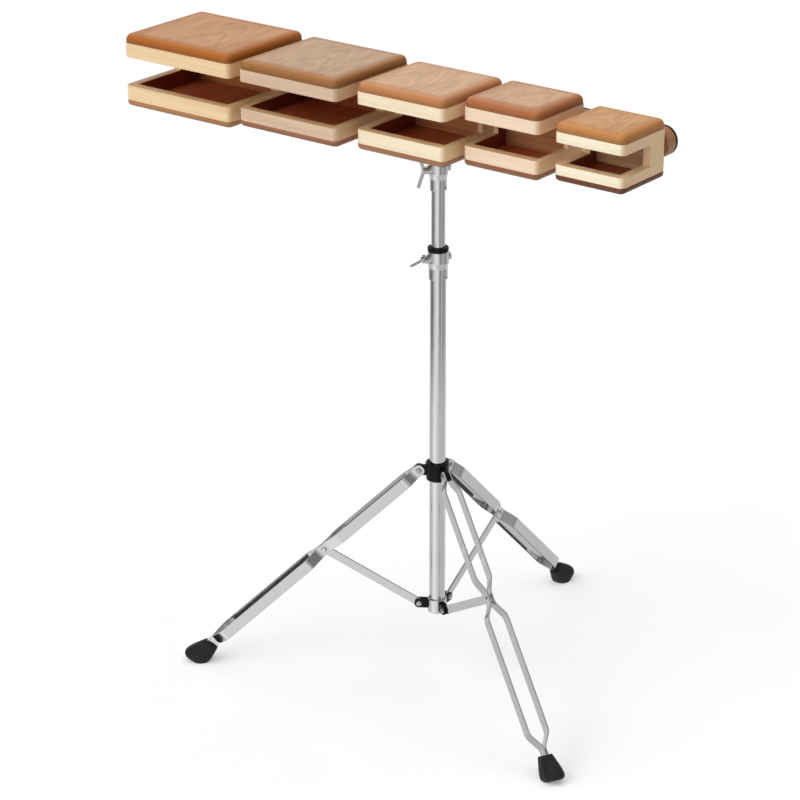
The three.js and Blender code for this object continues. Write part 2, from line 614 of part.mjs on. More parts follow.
// One strap of a leg: X runs down the leg from its pivot, Y across it, Z outward. Side is -1 or 1.
function legStrap(side) {
  const half = STRAP_THICKNESS / 2;
  const atLug = LUG_THICKNESS / 2 + FIT + half;
  const atBrace = BRACE_THICKNESS / 2 + FIT + half;
  const atFoot = FIT + half;
  const end = footTop + FOOT_GRIP;
  const path = easedPath([
    [-STRAP_WIDTH, atLug], [TOP_JOGGLE_FROM, atLug], [TOP_JOGGLE_TO, STRAP_UPPER_SPREAD],
    [BRACE_ON_LEG - PINCH_REACH, STRAP_UPPER_SPREAD], [BRACE_ON_LEG - PINCH_FLAT, atBrace],
    [BRACE_ON_LEG + PINCH_FLAT, atBrace], [BRACE_ON_LEG + PINCH_REACH, STRAP_LOWER_SPREAD],
    [footTop - FOOT_JOGGLE, STRAP_LOWER_SPREAD], [footTop - 2 * STRAP_BEND, atFoot], [end, atFoot],
  ].map(([x, y]) => new THREE.Vector2(x, side * y)), STRAP_BEND);
  const bent = new THREE.ExtrudeGeometry(new THREE.Shape(stripOutline(path, STRAP_THICKNESS)), {
    depth: STRAP_WIDTH,
    bevelEnabled: false,
  }).translate(0, 0, -STRAP_WIDTH / 2);
  const outline = new THREE.Shape();
  outline.moveTo(end, -STRAP_WIDTH);
  outline.lineTo(end, STRAP_WIDTH);
  outline.lineTo(0, STRAP_WIDTH / 2);
  outline.absarc(0, 0, STRAP_WIDTH / 2, RIGHT_ANGLE, RIGHT_ANGLE + Math.PI, false);
  const trimmed = common(bent, plate(outline, 4 * STRAP_LOWER_SPREAD));
  const hole = alongY(rod(RIVET_RADIUS + FIT, -STRAP_LOWER_SPREAD, STRAP_LOWER_SPREAD));
  const headFrom = atBrace + half;
  const head = alongY(turned([
    [0, atBrace], [RIVET_HEAD_RADIUS, atBrace], [RIVET_HEAD_RADIUS, headFrom],
    [RIVET_HEAD_RADIUS * HEAD_CROWN, headFrom + RIVET_HEAD], [0, headFrom + RIVET_HEAD],
  ], SMALL_ROUND));
  if (side < 0) head.rotateZ(Math.PI);
  return join(cut(trimmed, hole), head.translate(BRACE_ON_LEG, 0, 0));
}

// A rubber boot on the end of a leg, in the leg's own frame, cut level where it meets the floor
function legFoot(legFrame) {
  const rings = FOOT_SECTIONS.map(({ along, depth, width }) => (
    roundedRectangle(width, depth, Math.min(width, depth) * FOOT_CORNER)
      .map(({ x, y }) => new THREE.Vector3(footTop + along + y * FOOT_TILT, x, y))
  ));
  const toFoot = legFrame.clone().invert();
  const reach = 2 * FOOT_CIRCLE;
  const floor = box([-reach, -reach, -reach], [reach, reach, 0]).applyMatrix4(toFoot);
  const pocketY = STRAP_THICKNESS + 2 * FIT;
  const pocketZ = STRAP_WIDTH / 2 + FIT;
  const pocket = box([0, -pocketY, -pocketZ], [footTop + FOOT_GRIP + FIT, pocketY, pocketZ]);
  return cut(loft(rings), floor, pocket);
}

function brace() {
  const bar = plate(barShape(braceLength, BRACE_WIDTH / 2), BRACE_THICKNESS);
  const holes = [0, braceLength].map((x) => (
    alongY(rod(RIVET_RADIUS + FIT, -BRACE_THICKNESS, BRACE_THICKNESS)).translate(x, 0, 0)
  ));
  return cut(bar, ...holes);
}

// One leg with its straps, foot, brace and rivets, pointing along +X
function makeLeg(name) {
  const frame = new THREE.Group();
  frame.position.set(LEG_PIVOT_RADIUS, 0, LEG_PIVOT_Z);
  frame.rotation.y = RIGHT_ANGLE - legAngle;
  frame.updateMatrix();
  frame.add(part(`${name}_leg_strap_a`, legStrap(-1), chrome));
  frame.add(part(`${name}_leg_strap_b`, legStrap(1), chrome));
  frame.add(part(`${name}_foot`, legFoot(frame.matrix), blackRubber));
  const lugGrip = LUG_THICKNESS + 2 * (FIT + STRAP_THICKNESS + GLUE_LINE);
  frame.add(part(`${name}_leg_rivet`, rivet(lugGrip), steel));

  const braceFrame = new THREE.Group();
  braceFrame.position.set(BRACE_PIVOT_RADIUS, 0, BRACE_PIVOT_Z);
  braceFrame.rotation.y = -Math.atan2(braceRise, braceRun);
  braceFrame.add(part(`${name}_brace`, brace(), chrome));
  const earGrip = BRACE_THICKNESS + 2 * (FIT + EAR_THICKNESS + GLUE_LINE);
  braceFrame.add(part(`${name}_brace_rivet`, rivet(earGrip), steel));

  const leg = new THREE.Group();
  leg.add(frame, braceFrame);
  return leg;
}

const instrument = new THREE.Group();
instrument.add(makeRail(), makeMast(), makeLegCollar(), makeBraceCollar());
for (const [name, azimuth] of Object.entries(LEG_AZIMUTHS)) {
  const leg = makeLeg(name);
  leg.rotation.z = radians(azimuth);
  instrument.add(leg);
}

// The origin goes to the floor under the middle of the whole object
instrument.updateMatrixWorld(true);
const extent = new THREE.Box3().setFromObject(instrument, true);
const centre = extent.getCenter(new THREE.Vector3());
instrument.position.set(-centre.x, -centre.y, -extent.min.z);

export default instrument;
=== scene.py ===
"""Looks of five box temple blocks on a folding stand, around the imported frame. Metres, degrees, +Z up."""

import json
import math

import bmesh
import bpy
from mathutils import Matrix, Vector


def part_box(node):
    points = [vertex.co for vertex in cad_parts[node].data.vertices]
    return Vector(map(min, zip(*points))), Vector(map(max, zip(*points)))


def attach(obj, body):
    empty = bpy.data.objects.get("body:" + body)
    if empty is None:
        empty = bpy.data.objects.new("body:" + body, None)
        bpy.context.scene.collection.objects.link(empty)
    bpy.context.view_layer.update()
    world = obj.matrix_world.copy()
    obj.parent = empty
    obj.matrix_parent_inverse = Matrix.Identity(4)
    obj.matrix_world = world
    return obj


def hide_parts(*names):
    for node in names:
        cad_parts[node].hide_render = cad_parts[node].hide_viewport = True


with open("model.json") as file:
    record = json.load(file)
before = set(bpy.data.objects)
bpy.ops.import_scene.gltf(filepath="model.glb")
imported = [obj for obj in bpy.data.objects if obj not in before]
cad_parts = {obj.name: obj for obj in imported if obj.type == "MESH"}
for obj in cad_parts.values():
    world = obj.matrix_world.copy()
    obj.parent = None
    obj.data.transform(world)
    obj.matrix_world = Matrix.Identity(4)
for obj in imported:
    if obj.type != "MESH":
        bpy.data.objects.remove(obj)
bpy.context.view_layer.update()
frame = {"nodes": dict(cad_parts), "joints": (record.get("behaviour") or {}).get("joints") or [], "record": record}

MM = 0.001
UP = Vector((0, 0, 1))

# Camera, at the photograph's place and angle
CAMERA_PLACE = (2.075618, -2.848610, 1.870486)
CAMERA_YAW = 37.634
CAMERA_PITCH = 22.766
CAMERA_ROLL = 0.176
CAMERA_LENS = 121.734

# Smoothness of round shapes
ROUND = 64
SMALL_ROUND = 32
CORNER_STEPS = 8
BEND_STEPS = 6
SHARP_ANGLE = math.radians(38)
TINY = 0.00005 * MM  # edges shorter than this are taken out

# Clearance that the frame's pieces keep
FIT = 0.3 * MM

# Blocks
BLOCK_CORNER = 8 * MM
BODY_EDGE = 0.9 * MM
TOP_CORNER = 10 * MM
TOP_ROUND = 9 * MM
BOTTOM_ROUND = 5 * MM
PLATE_EDGE = 0.6 * MM
LEVEL_DIGITS = 5  # to which the places of a node's corners are told apart
RIM_SLOPE = 0.5  # how far a face inside a body may look up or down and still take the painted shade of the inside
END_FACING = -0.9  # how far the ends of a mouth look to the front, at least

# Rail, bracket and screws
BRACKET_SCREWS = ("bracket_screw_left", "bracket_screw_right")
RAIL_EDGE = 1.5 * MM
STRIP_EDGE = 0.7 * MM
BRACKET_PLATE = 3 * MM
BRACKET_HEIGHT = 34 * MM
BRACKET_CORNER = 6 * MM
SOCKET_WALL = 3 * MM
HEAD_EASE = 1.2 * MM
HEX_SIDES = 6
HEX_SOCKET = 2.6 * MM
CROSS_LENGTH = 2.6 * MM
CROSS_WIDTH = 0.5 * MM
RECESS_DEPTH = 1.6 * MM

# Mast and clamps
TUBE_WALL = 1.2 * MM
TUBE_EASE = 0.4 * MM
CLAMP_SLEEVE = 17 * MM
CLAMP_FLARE = 7 * MM
CLAMP_SLEEVE_WALL = 1.7 * MM
CLAMP_HEAD_WALL = 3.1 * MM
CLAMP_ARCH = 8.5 * MM
CLAMP_BOSS_RADIUS = 6 * MM
CLAMP_BOSS_REACH = 3 * MM
CLAMP_PAD_REACH = 0.6 * MM
CLAMP_EASE = 0.9 * MM
BUSH_EASE = 1.3 * MM
NUT_ACROSS_FLATS = 10 * MM
NUT_THICKNESS = 3 * MM
NUT_EDGE = 0.5 * MM

# Wing bolts
WING_SHANK = 3 * MM
WING_HUB_RADIUS = 5.5 * MM
WING_HUB_TIP = 4 * MM
WING_HUB_LENGTH = 8 * MM
WING_REACH = 16 * MM
WING_SPREAD = 24 * MM
WING_LEAN = 60
WING_TIP = 2.6 * MM
WING_THICKNESS = 2.6 * MM
WING_EDGE = 0.9 * MM
LOWER_WING_ROLL = -54
UPPER_WING_ROLL = 0
BRACKET_WING_ROLL = 90

# Collars
COLLAR_WALL = 4.6 * MM
COLLAR_EASE = 1.4 * MM
COLLAR_BOSS_RADIUS = 6 * MM
COLLAR_BOSS_REACH = 3 * MM
LUG_RADIUS = 7.5 * MM
LUG_THICKNESS = 6 * MM
LUG_EDGE = 0.7 * MM
CUP_WALL = 2.2 * MM
CUP_FLOOR = 2.5 * MM
EAR_RADIUS = 6.5 * MM
EAR_THICKNESS = 3 * MM
EAR_EDGE = 0.5 * MM
THUMB_SHANK = 2.5 * MM
KNOB_RADIUS = 6.5 * MM
KNOB_LENGTH = 9 * MM
KNOB_FLUTES = 20
KNOB_FLUTE_DEPTH = 0.45 * MM
KNOB_EDGE = 0.5 * MM

# Legs, braces and rivets
LEGS = ("back", "left", "right")
FOOT_CIRCLE = 356.5 * MM
BRACE_ON_LEG = 186 * MM
STRAP_WIDTH = 16 * MM
STRAP_THICKNESS = 2 * MM
STRAP_EDGE = 0.5 * MM
STRAP_UPPER_SPREAD = 11.5 * MM
STRAP_LOWER_SPREAD = 14.5 * MM
STRAP_BEND = 5 * MM
TOP_JOGGLE_FROM = 9 * MM
TOP_JOGGLE_TO = 24 * MM
PINCH_FLAT = 9 * MM
PINCH_REACH = 29 * MM
FOOT_JOGGLE = 30 * MM
BRACE_WIDTH = 12 * MM
BRACE_THICKNESS = 3 * MM
BRACE_EDGE = 0.6 * MM
RIVET_RADIUS = 2.5 * MM
RIVET_HEAD_RADIUS = 4.2 * MM
RIVET_HEAD = 1.8 * MM
GLUE_LINE = 0.1 * MM

# Rubber feet: sections along the leg from the top of the boot, as (along, depth, width)
FOOT_RISE = 39.5 * MM
FOOT_GRIP = 26 * MM
FOOT_TILT = 0.25
FOOT_CORNER = 0.42
FOOT_STEPS = 5
FOOT_SECTIONS = [
    (0, 20, 17), (1.5, 22.5, 19), (10, 28, 23), (20, 33.5, 27.5),
    (28, 36, 30), (33, 35, 29), (36, 30, 25), (37, 24, 20),
]
FOOT_SKIN = 0.45 * MM  # how far the smooth boot stays inside those sections

record = frame["record"]
BODY_OF = {node: body for body, nodes in record["behaviour"]["bodies"].items() for node in nodes}
SLOT_OF = {row["node"]: row["material_slot"] for row in record["subparts"]}
JOINTS = {joint["name"]: joint for joint in frame["joints"]}
rod_low, rod_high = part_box("top_rod")
MAST = Vector(((rod_low.x + rod_high.x) / 2, (rod_low.y + rod_high.y) / 2, 0))
MAST_PLACE = Matrix.Translation(MAST)


def radius_of(node):
    """The radius of an upright round node."""
    low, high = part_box(node)
    return (high.x - low.x) / 2


def corners_of(node):
    return [vertex.co for vertex in frame["nodes"][node].data.vertices]


def joint_place(name):
    return Vector(JOINTS[name]["pos_m"])


def joint_axis(name):
    return Vector(JOINTS[name]["axis"]).normalized()


# Shapes are pairs of vertices and faces, made about the origin and then placed

def lathe(profile, segments=ROUND):
    """A turned shape about Z from a list of (radius, z), which runs from axis to axis or closes on itself."""
    vertices, rings, faces = [], [], []
    for radius, z in profile:
        count = segments if radius > 0 else 1
        rings.append(range(len(vertices), len(vertices) + count))
        for i in range(count):
            angle = 2 * math.pi * i / segments
            vertices.append((radius * math.cos(angle), radius * math.sin(angle), z))
    closed = profile[0][0] > 0
    following = rings[1:] + rings[:1] if closed else rings[1:]
    for ring, after in zip(rings, following):
        for i in range(segments):
            corners = [(ring, i), (ring, i + 1), (after, i + 1), (after, i)]
            face = list(dict.fromkeys(side[step % len(side)] for side, step in corners))
            if len(face) > 2:
                faces.append(face)
    return vertices, faces


def prism(outline, low, high):
    """An outline in the XY plane, raised from one height to another."""
    count = len(outline)
    vertices = [(x, y, z) for z in (low, high) for x, y in outline]
    faces = [list(range(count)), list(range(count, 2 * count))]
    for i in range(count):
        after = (i + 1) % count
        faces.append([i, after, count + after, count + i])
    return vertices, faces


def loft(rings):
    """A closed skin through rings of equal point counts."""
    count = len(rings[0])
    vertices = [point for ring in rings for point in ring]
    last = count * (len(rings) - 1)
    faces = [list(range(count)), list(range(last, last + count))]
    for level in range(len(rings) - 1):
        for i in range(count):
            a, b = level * count + i, level * count + (i + 1) % count
            faces.append([a, b, b + count, a + count])
    return vertices, faces


def eased(points, ease, closed=True, steps=BEND_STEPS):
    """A path in the plane with its corners eased by short curves. An open path keeps its ends."""
    points = [Vector(point) for point in points]
    count = len(points)
    path = []
    for i, corner in enumerate(points):
        if not closed and i in (0, count - 1):
            path.append(tuple(corner))
            continue
        before, after = points[i - 1], points[(i + 1) % count]
        start = corner.lerp(before, min(ease / (corner - before).length, 0.5))
        end = corner.lerp(after, min(ease / (corner - after).length, 0.5))
        for step in range(steps + 1):
            share = step / steps
            path.append(tuple(start.lerp(corner, share).lerp(corner.lerp(end, share), share)))
    return list(dict.fromkeys(path))


def arc(centre, radius, start, end, steps=CORNER_STEPS):
    """Points round a centre between two angles in degrees."""
    angles = [math.radians(start + (end - start) * step / steps) for step in range(steps + 1)]
    return [(centre[0] + radius * math.cos(a), centre[1] + radius * math.sin(a)) for a in angles]


def rounded_rectangle(width, depth, radius):
    x, y = width / 2 - radius, depth / 2 - radius
    corners = [((x, y), 0), ((-x, y), 90), ((-x, -y), 180), ((x, -y), 270)]
    return [point for centre, start in corners for point in arc(centre, radius, start, start + 90)]


def bar(length, radius):
    """A bar with round ends along X, whose ends are centred on 0 and the length."""
    steps = 2 * CORNER_STEPS
    return arc((length, 0), radius, -90, 90, steps) + arc((0, 0), radius, 90, 270, steps)


def polygon(sides, radius):
    return arc((0, 0), radius, 0, 360 - 360 / sides, sides - 1)


# Ways to place a shape

def pointing(place, axis):
    """A frame at a place whose Z runs along a level axis and whose X is up."""
    z = axis.normalized()
    y = z.cross(UP)
    return Matrix.Translation(place) @ Matrix((UP, y, z)).transposed().to_4x4()


def spanning(place, along, across):
    """A frame at a place whose X runs along one direction and whose Y runs across it."""
    x, y = along.normalized(), across.normalized()
    return Matrix.Translation(place) @ Matrix((x, y, x.cross(y))).transposed().to_4x4()


UPRIGHT = Matrix.Rotation(math.radians(90), 4, "X")
BACKWARD = Matrix.Rotation(math.radians(-90), 4, "X")


def solid(shape, place=Matrix.Identity(4), name="shape"):
    """A mesh object from a shape, with its faces pointing out."""
    vertices, faces = shape
    shaped = bmesh.new()
    corners = [shaped.verts.new(place @ Vector(vertex)) for vertex in vertices]
    for face in faces:
        shaped.faces.new([corners[i] for i in face])
    bmesh.ops.recalc_face_normals(shaped, faces=shaped.faces)
    mesh = bpy.data.meshes.new(name)
    shaped.to_mesh(mesh)
    shaped.free()
    obj = bpy.data.objects.new(name, mesh)
    bpy.context.scene.collection.objects.link(obj)
    return obj


def settle(obj):
    """Keeps what the modifiers make as the object's own mesh, without faces that have no area."""
    made = bpy.data.meshes.new_from_object(obj.evaluated_get(bpy.context.evaluated_depsgraph_get()))
    obj.modifiers.clear()
    obj.data = made
    cleaned = bmesh.new()
    cleaned.from_mesh(made)
    bmesh.ops.dissolve_degenerate(cleaned, dist=TINY, edges=cleaned.edges)
    cleaned.to_mesh(made)
    cleaned.free()
    return obj


def combine(obj, others, operation):
    for other in others:
        modifier = obj.modifiers.new(operation, "BOOLEAN")
        modifier.operation = operation
        modifier.solver = "EXACT"
        modifier.object = other
    settle(obj)
    for other in others:
        bpy.data.objects.remove(other)
    return obj


def join(obj, *others):
    return combine(obj, others, "UNION")


def cut(obj, *others):
    return combine(obj, others, "DIFFERENCE")


def round_bar(radius, start, end, place, segments=SMALL_ROUND, ease=0):
    """A round bar along the Z of a place, for a stud or a boss or to cut a hole with."""
    profile = [(0, start), (radius, start), (radius, end), (0, end)]
    return solid(lathe(eased(profile, ease, closed=False) if ease else profile, segments), place)


def pipe(inner, outer, start, end, place, ease):
    """A round wall with eased edges along the Z of a place."""
    wall = [(inner, start), (outer, start), (outer, end), (inner, end)]
    return solid(lathe(eased(wall, ease)), place)


def bevel(obj, width, segments=3):
    modifier = obj.modifiers.new("edges", "BEVEL")
    modifier.width = width
    modifier.segments = segments
    modifier.limit_method = "ANGLE"
    modifier.angle_limit = SHARP_ANGLE
    return settle(obj)


def finish(obj, name, body, slot, *materials):
    """Makes a shape a finished piece that rides a body and takes the given materials. Its slot is not used."""
    obj.name = name
    obj.data.name = name
    obj.data.materials.clear()
    for material in materials:
        obj.data.materials.append(material)
    obj.data.shade_smooth()
    obj.data.set_sharp_from_angle(angle=SHARP_ANGLE)
    normals = obj.modifiers.new("normals", "WEIGHTED_NORMAL")
    normals.keep_sharp = True
    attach(obj, body)


def dress(obj, node, *materials):
    """Puts a finished shape in a node's place, on the node's body."""
    finish(obj, f"fine_{node}", BODY_OF[node], SLOT_OF[node], *materials)
    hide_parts(node)
    return obj


# Materials

def new_material(name, **sockets):
    """A material, its node tree, and its shader with some sockets set to values."""
    material = bpy.data.materials.new(name)
    material.use_nodes = True
    shader = material.node_tree.nodes["Principled BSDF"]
    for socket, value in sockets.items():
        shader.inputs[socket.replace("_", " ")].default_value = value
    return material, material.node_tree, shader


def feed(tree, shader, **sockets):
    """Links patterns to sockets of a shader."""
    for socket, pattern in sockets.items():
        tree.links.new(pattern, shader.inputs[socket.replace("_", " ")])


def add(tree, kind, inputs=None, **settings):
    """A node with its settings, and its inputs set to values or linked to sockets."""
    node = tree.nodes.new(kind)
    for setting, value in settings.items():
        setattr(node, setting, value)
    for socket, value in (inputs or {}).items():
        if isinstance(value, bpy.types.NodeSocket):
            tree.links.new(value, node.inputs[socket])
        else:
            node.inputs[socket].default_value = value
    return node


def noise(tree, vector, scale=1.0, detail=3.0, roughness=0.5):
    settings = {"Vector": vector, "Scale": scale, "Detail": detail, "Roughness": roughness}
    return add(tree, "ShaderNodeTexNoise", settings).outputs[0]


def stretched(tree, vector, scale):
    return add(tree, "ShaderNodeMapping", {"Vector": vector, "Scale": scale}).outputs[0]


def remap(tree, value, low, high, to_low=0.0, to_high=1.0):
    inputs = {"Value": value, "From Min": low, "From Max": high, "To Min": to_low, "To Max": to_high}
    return add(tree, "ShaderNodeMapRange", inputs).outputs[0]


def mix(tree, factor, first, second, blend="MIX"):
    return add(
        tree, "ShaderNodeMix", {0: factor, 6: first, 7: second}, data_type="RGBA", blend_type=blend,
    ).outputs[2]


def tinge(tree, colour, other, pattern, tone):
    """A colour that goes over into another by a pattern: from where to where in it, and how far at most."""
    low, high, share = tone
    return mix(tree, remap(tree, pattern, low, high, 0.0, share), colour, other)


def bump(tree, height, relief):
    strength, distance = relief
    inputs = {"Height": height, "Strength": strength, "Distance": distance}
    return add(tree, "ShaderNodeBump", inputs).outputs[0]


def rgb(red, green, blue):
    """A linear colour from display values of 0 to 255."""
    def linear(value):
        share = value / 255
        return share / 12.92 if share <= 0.04045 else ((share + 0.055) / 1.055) ** 2.4
    return (linear(red), linear(green), linear(blue), 1.0)


def grey(value):
    return (value, value, value, 1.0)


WHITE = grey(1.0)


def own_space(tree):
    """An object's own coordinates, and the sides of its own normals, which both turn with it."""
    own = add(tree, "ShaderNodeTexCoord").outputs
    return own["Object"], add(tree, "ShaderNodeSeparateXYZ", {0: own["Normal"]}).outputs


def size_of(tree, value):
    return add(tree, "ShaderNodeMath", {0: value}, operation="ABSOLUTE").outputs[0]


# Veneer of the tops
RING_SPACING = 9 * MM
RING_STRETCH = (1, 0.5, 1)
WAVE_TURN = 20  # the wave texture's own turns per unit
HEART_DEPTH = 4 * MM  # below the front of a top, from where it dips towards the back
HEART_TILT = 14
HEART_TURN = 4
EDGE_PAINTED_SHADE = 0.72  # painted shade: how dark a top's turned edge is painted where it stands upright
EDGE_TURN = (0.0, 0.8)  # the heights of the normal between which that shade wears off
FACE_TURN = (0.7, 0.95)  # and those between which the edge goes over into the face
BORDER = (18 * MM, 8 * MM)  # from where, and by where, a top's face goes over into its edge's colour
FLAME_STRETCH = (80, 15, 80)
FIBRE_STRETCH = (1300, 45, 1300)
CLOUD_STRETCH = (1, 0.4, 1)
CLOUD_SCALE = 26.0
VENEER_ROUGHNESS = (0.32, 0.48)
VENEER_RELIEF = (0.12, 0.2 * MM)
# How patterns colour it: from where to where in the pattern, and how far at most
RING_TONE = (0.3, 1.0, 0.38)
FLAME_TONE = (0.45, 0.7, 0.5)
FIBRE_TONE = (0.5, 0.8, 0.5)
CLOUD_TONE = (0.45, 0.7, 0.4)
EDGE_TONE = (0.4, 0.8, 0.35)
BORDER_TONE = (0.0, 1.0, 0.7)

# Straight-grained wood: how far each grain is drawn out along and across
FINE_GRAIN = (18, 700)
BROAD_GRAIN = (4, 120)
GRAIN_TURN = (0.55, 0.75)  # how far a wall faces Y where its grain goes over from Y to X
SIDE_TURN = (0.35, 0.9)  # how far a face looks to the side, or up, where it takes that colour
BROAD_TONE = (0.4, 0.75)
FINE_TONE = (0.5, 0.8)
FINE_SHARE = 0.8  # of the broad streaks' strength
GRAIN_SPAN = (0.3, 0.8)
WOOD_ROUGHNESS = (0.38, 0.54)
WOOD_RELIEF = (0.1, 0.15 * MM)

# Metal and moulded pieces
SMEAR_SCALE = 90.0
RIPPLE_SCALE = 30.0
METAL_RELIEF = (0.02, 0.4 * MM)
WEAR_SCALE = 120.0
WEAR_TONE = (0.4, 0.75, 1.0)
CLOUD_SPAN = (0.3, 0.7)
MOULDED_RELIEF = (0.25, 0.1 * MM)


def border_of(tree, place, low, high):
    """How near a place on a plate is to the plate's edge, from 0 to 1."""
    middle, half = (low + high) / 2, (high - low) / 2
    offset = add(tree, "ShaderNodeVectorMath", {0: place, 1: middle}, operation="SUBTRACT").outputs[0]
    sides = add(tree, "ShaderNodeSeparateXYZ", {0: offset}).outputs
    across, along = (
        remap(tree, size_of(tree, sides[axis]), *(half[axis] - reach for reach in BORDER)) for axis in (0, 1)
    )
    return add(tree, "ShaderNodeMath", {0: across, 1: along}, operation="MAXIMUM").outputs[0]


def veneer(name, low, high, heart, face, dark, edge):
    """Lacquered veneer with edges of another colour and grain along Y, arched over a heart in the plate."""
    material, tree, shader = new_material(
        name, Coat_Weight=0.1, Coat_Roughness=0.25, Specular_IOR_Level=0.4,
    )
    place, facing = own_space(tree)
    tilted = add(tree, "ShaderNodeMapping", {
        "Vector": place,
        "Location": heart,
        "Rotation": (math.radians(-HEART_TILT), 0, math.radians(HEART_TURN)),
    }, vector_type="TEXTURE").outputs[0]
    rings = add(tree, "ShaderNodeTexWave", {
        "Vector": stretched(tree, tilted, RING_STRETCH),
        "Scale": 2 * math.pi / (WAVE_TURN * RING_SPACING),
        "Distortion": 6.0,
        "Detail": 3.0,
        "Detail Scale": 0.8,
        "Detail Roughness": 0.5,
    }, wave_type="RINGS", rings_direction="Y", wave_profile="SAW").outputs["Fac"]
    fibres = noise(tree, stretched(tree, place, FIBRE_STRETCH), detail=4.0, roughness=0.65)
    clouds = noise(tree, stretched(tree, place, CLOUD_STRETCH), CLOUD_SCALE)
    flames = noise(tree, stretched(tree, tilted, FLAME_STRETCH), roughness=0.55)
    grain = face
    for pattern, tone in (
        (rings, RING_TONE), (flames, FLAME_TONE), (fibres, FIBRE_TONE), (clouds, CLOUD_TONE),
    ):
        grain = tinge(tree, grain, dark, pattern, tone)
    # Painted shade: a top's turned edge is painted darker where it stands upright than where it looks up
    rim = mix(tree, 1.0, edge, remap(tree, facing[2], *EDGE_TURN, EDGE_PAINTED_SHADE, 1.0), "MULTIPLY")
    rim = tinge(tree, rim, dark, fibres, EDGE_TONE)
    grain = tinge(tree, grain, rim, border_of(tree, place, low, high), BORDER_TONE)
    colour = mix(tree, remap(tree, facing[2], *FACE_TURN), rim, grain)
    roughness = remap(tree, fibres, *GRAIN_SPAN, *VENEER_ROUGHNESS)
    feed(tree, shader, Base_Color=colour, Roughness=roughness, Normal=bump(tree, fibres, VENEER_RELIEF))
    return material


def straight_grain(tree, place, turn, grain, detail, roughness):
    """Noise drawn out along X where the turn is 1, and along Y where it is 0."""
    along, across = grain
    along_x = noise(tree, stretched(tree, place, (along, across, across)), 1.0, detail, roughness)
    along_y = noise(tree, stretched(tree, place, (across, along, across)), 1.0, detail, roughness)
    return add(tree, "ShaderNodeMix", {0: turn, 2: along_y, 3: along_x}).outputs[0]


def plain_wood(name, pale, dark, side=None, upper=None, streaks=0.55):
    """Lacquered straight-grained wood, with its grain along X on walls that face Y, and along Y elsewhere.

    Sides that look along X and faces that look up can have colours of their own, which the blocks' bodies use for
    painted shade."""
    material, tree, shader = new_material(name, Coat_Weight=0.15, Coat_Roughness=0.3)
    place, facing = own_space(tree)
    turn = remap(tree, size_of(tree, facing[1]), *GRAIN_TURN)
    fine = straight_grain(tree, place, turn, FINE_GRAIN, detail=4.0, roughness=0.6)
    broad = straight_grain(tree, place, turn, BROAD_GRAIN, detail=2.0, roughness=0.5)
    if side:
        pale = mix(tree, remap(tree, size_of(tree, facing[0]), *SIDE_TURN), pale, side)
    if upper:
        pale = mix(tree, remap(tree, facing[2], *SIDE_TURN), pale, upper)
    colour = tinge(tree, pale, dark, broad, (*BROAD_TONE, streaks))
    colour = tinge(tree, colour, dark, fine, (*FINE_TONE, streaks * FINE_SHARE))
    roughness = remap(tree, fine, *GRAIN_SPAN, *WOOD_ROUGHNESS)
    feed(tree, shader, Base_Color=colour, Roughness=roughness, Normal=bump(tree, fine, WOOD_RELIEF))
    return material


def metal(name, colour, *roughness):
    """Plated metal with faint smears in its polish."""
    material, tree, shader = new_material(name, Base_Color=colour, Metallic=1.0)
    place = add(tree, "ShaderNodeTexCoord").outputs["Object"]
    smears = noise(tree, place, SMEAR_SCALE, detail=4.0, roughness=0.6)
    ripples = noise(tree, place, RIPPLE_SCALE, detail=1.0)
    polish = remap(tree, smears, *CLOUD_SPAN, *roughness)
    feed(tree, shader, Roughness=polish, Normal=bump(tree, ripples, METAL_RELIEF))
    return material


def moulded(name, colour, worn, *roughness, grain, gloss=0.5):
    """Black moulded plastic, rubber or paint with a fine grain."""
    material, tree, shader = new_material(name, Specular_IOR_Level=gloss)
    place = add(tree, "ShaderNodeTexCoord").outputs["Object"]
    clouds = noise(tree, place, WEAR_SCALE, detail=4.0)
    colour = tinge(tree, colour, worn, clouds, WEAR_TONE)
    polish = remap(tree, clouds, *CLOUD_SPAN, *roughness)
    relief = bump(tree, noise(tree, place, grain, detail=2.0), MOULDED_RELIEF)
    feed(tree, shader, Base_Color=colour, Roughness=polish, Normal=relief)
    return material


rail_wood = plain_wood("rail_wood", rgb(176, 126, 86), rgb(128, 82, 50), streaks=0.7)
chrome = metal("chrome", (0.80, 0.81, 0.82, 1.0), 0.05, 0.12)
steel = metal("steel", (0.58, 0.58, 0.58, 1.0), 0.2, 0.36)
nylon = moulded("black_nylon", rgb(8, 8, 9), rgb(14, 14, 15), 0.22, 0.36, grain=900.0, gloss=0.2)
paint = moulded("black_paint", rgb(20, 20, 22), rgb(32, 32, 34), 0.34, 0.5, grain=1400.0)
rubber = moulded("black_rubber", rgb(20, 20, 22), rgb(33, 33, 36), 0.5, 0.68, grain=1100.0)

# Where the heart of the tree lies under each block's top, as a share of its width from the middle
HEART_OFFSETS = [0.12, 0.06, -0.15, 0.2, -0.05]

# Face, grain and edge colours of each block's top, from the largest to the smallest
TOP_COLOURS = [
    (rgb(206, 155, 113), rgb(164, 111, 72), rgb(174, 97, 18)),
    (rgb(204, 170, 141), rgb(160, 123, 92), rgb(160, 104, 48)),
    (rgb(219, 180, 146), rgb(178, 136, 102), rgb(191, 124, 71)),
    (rgb(215, 174, 139), rgb(172, 128, 94), rgb(173, 101, 54)),
    (rgb(212, 163, 114), rgb(168, 116, 72), rgb(194, 130, 68)),
]
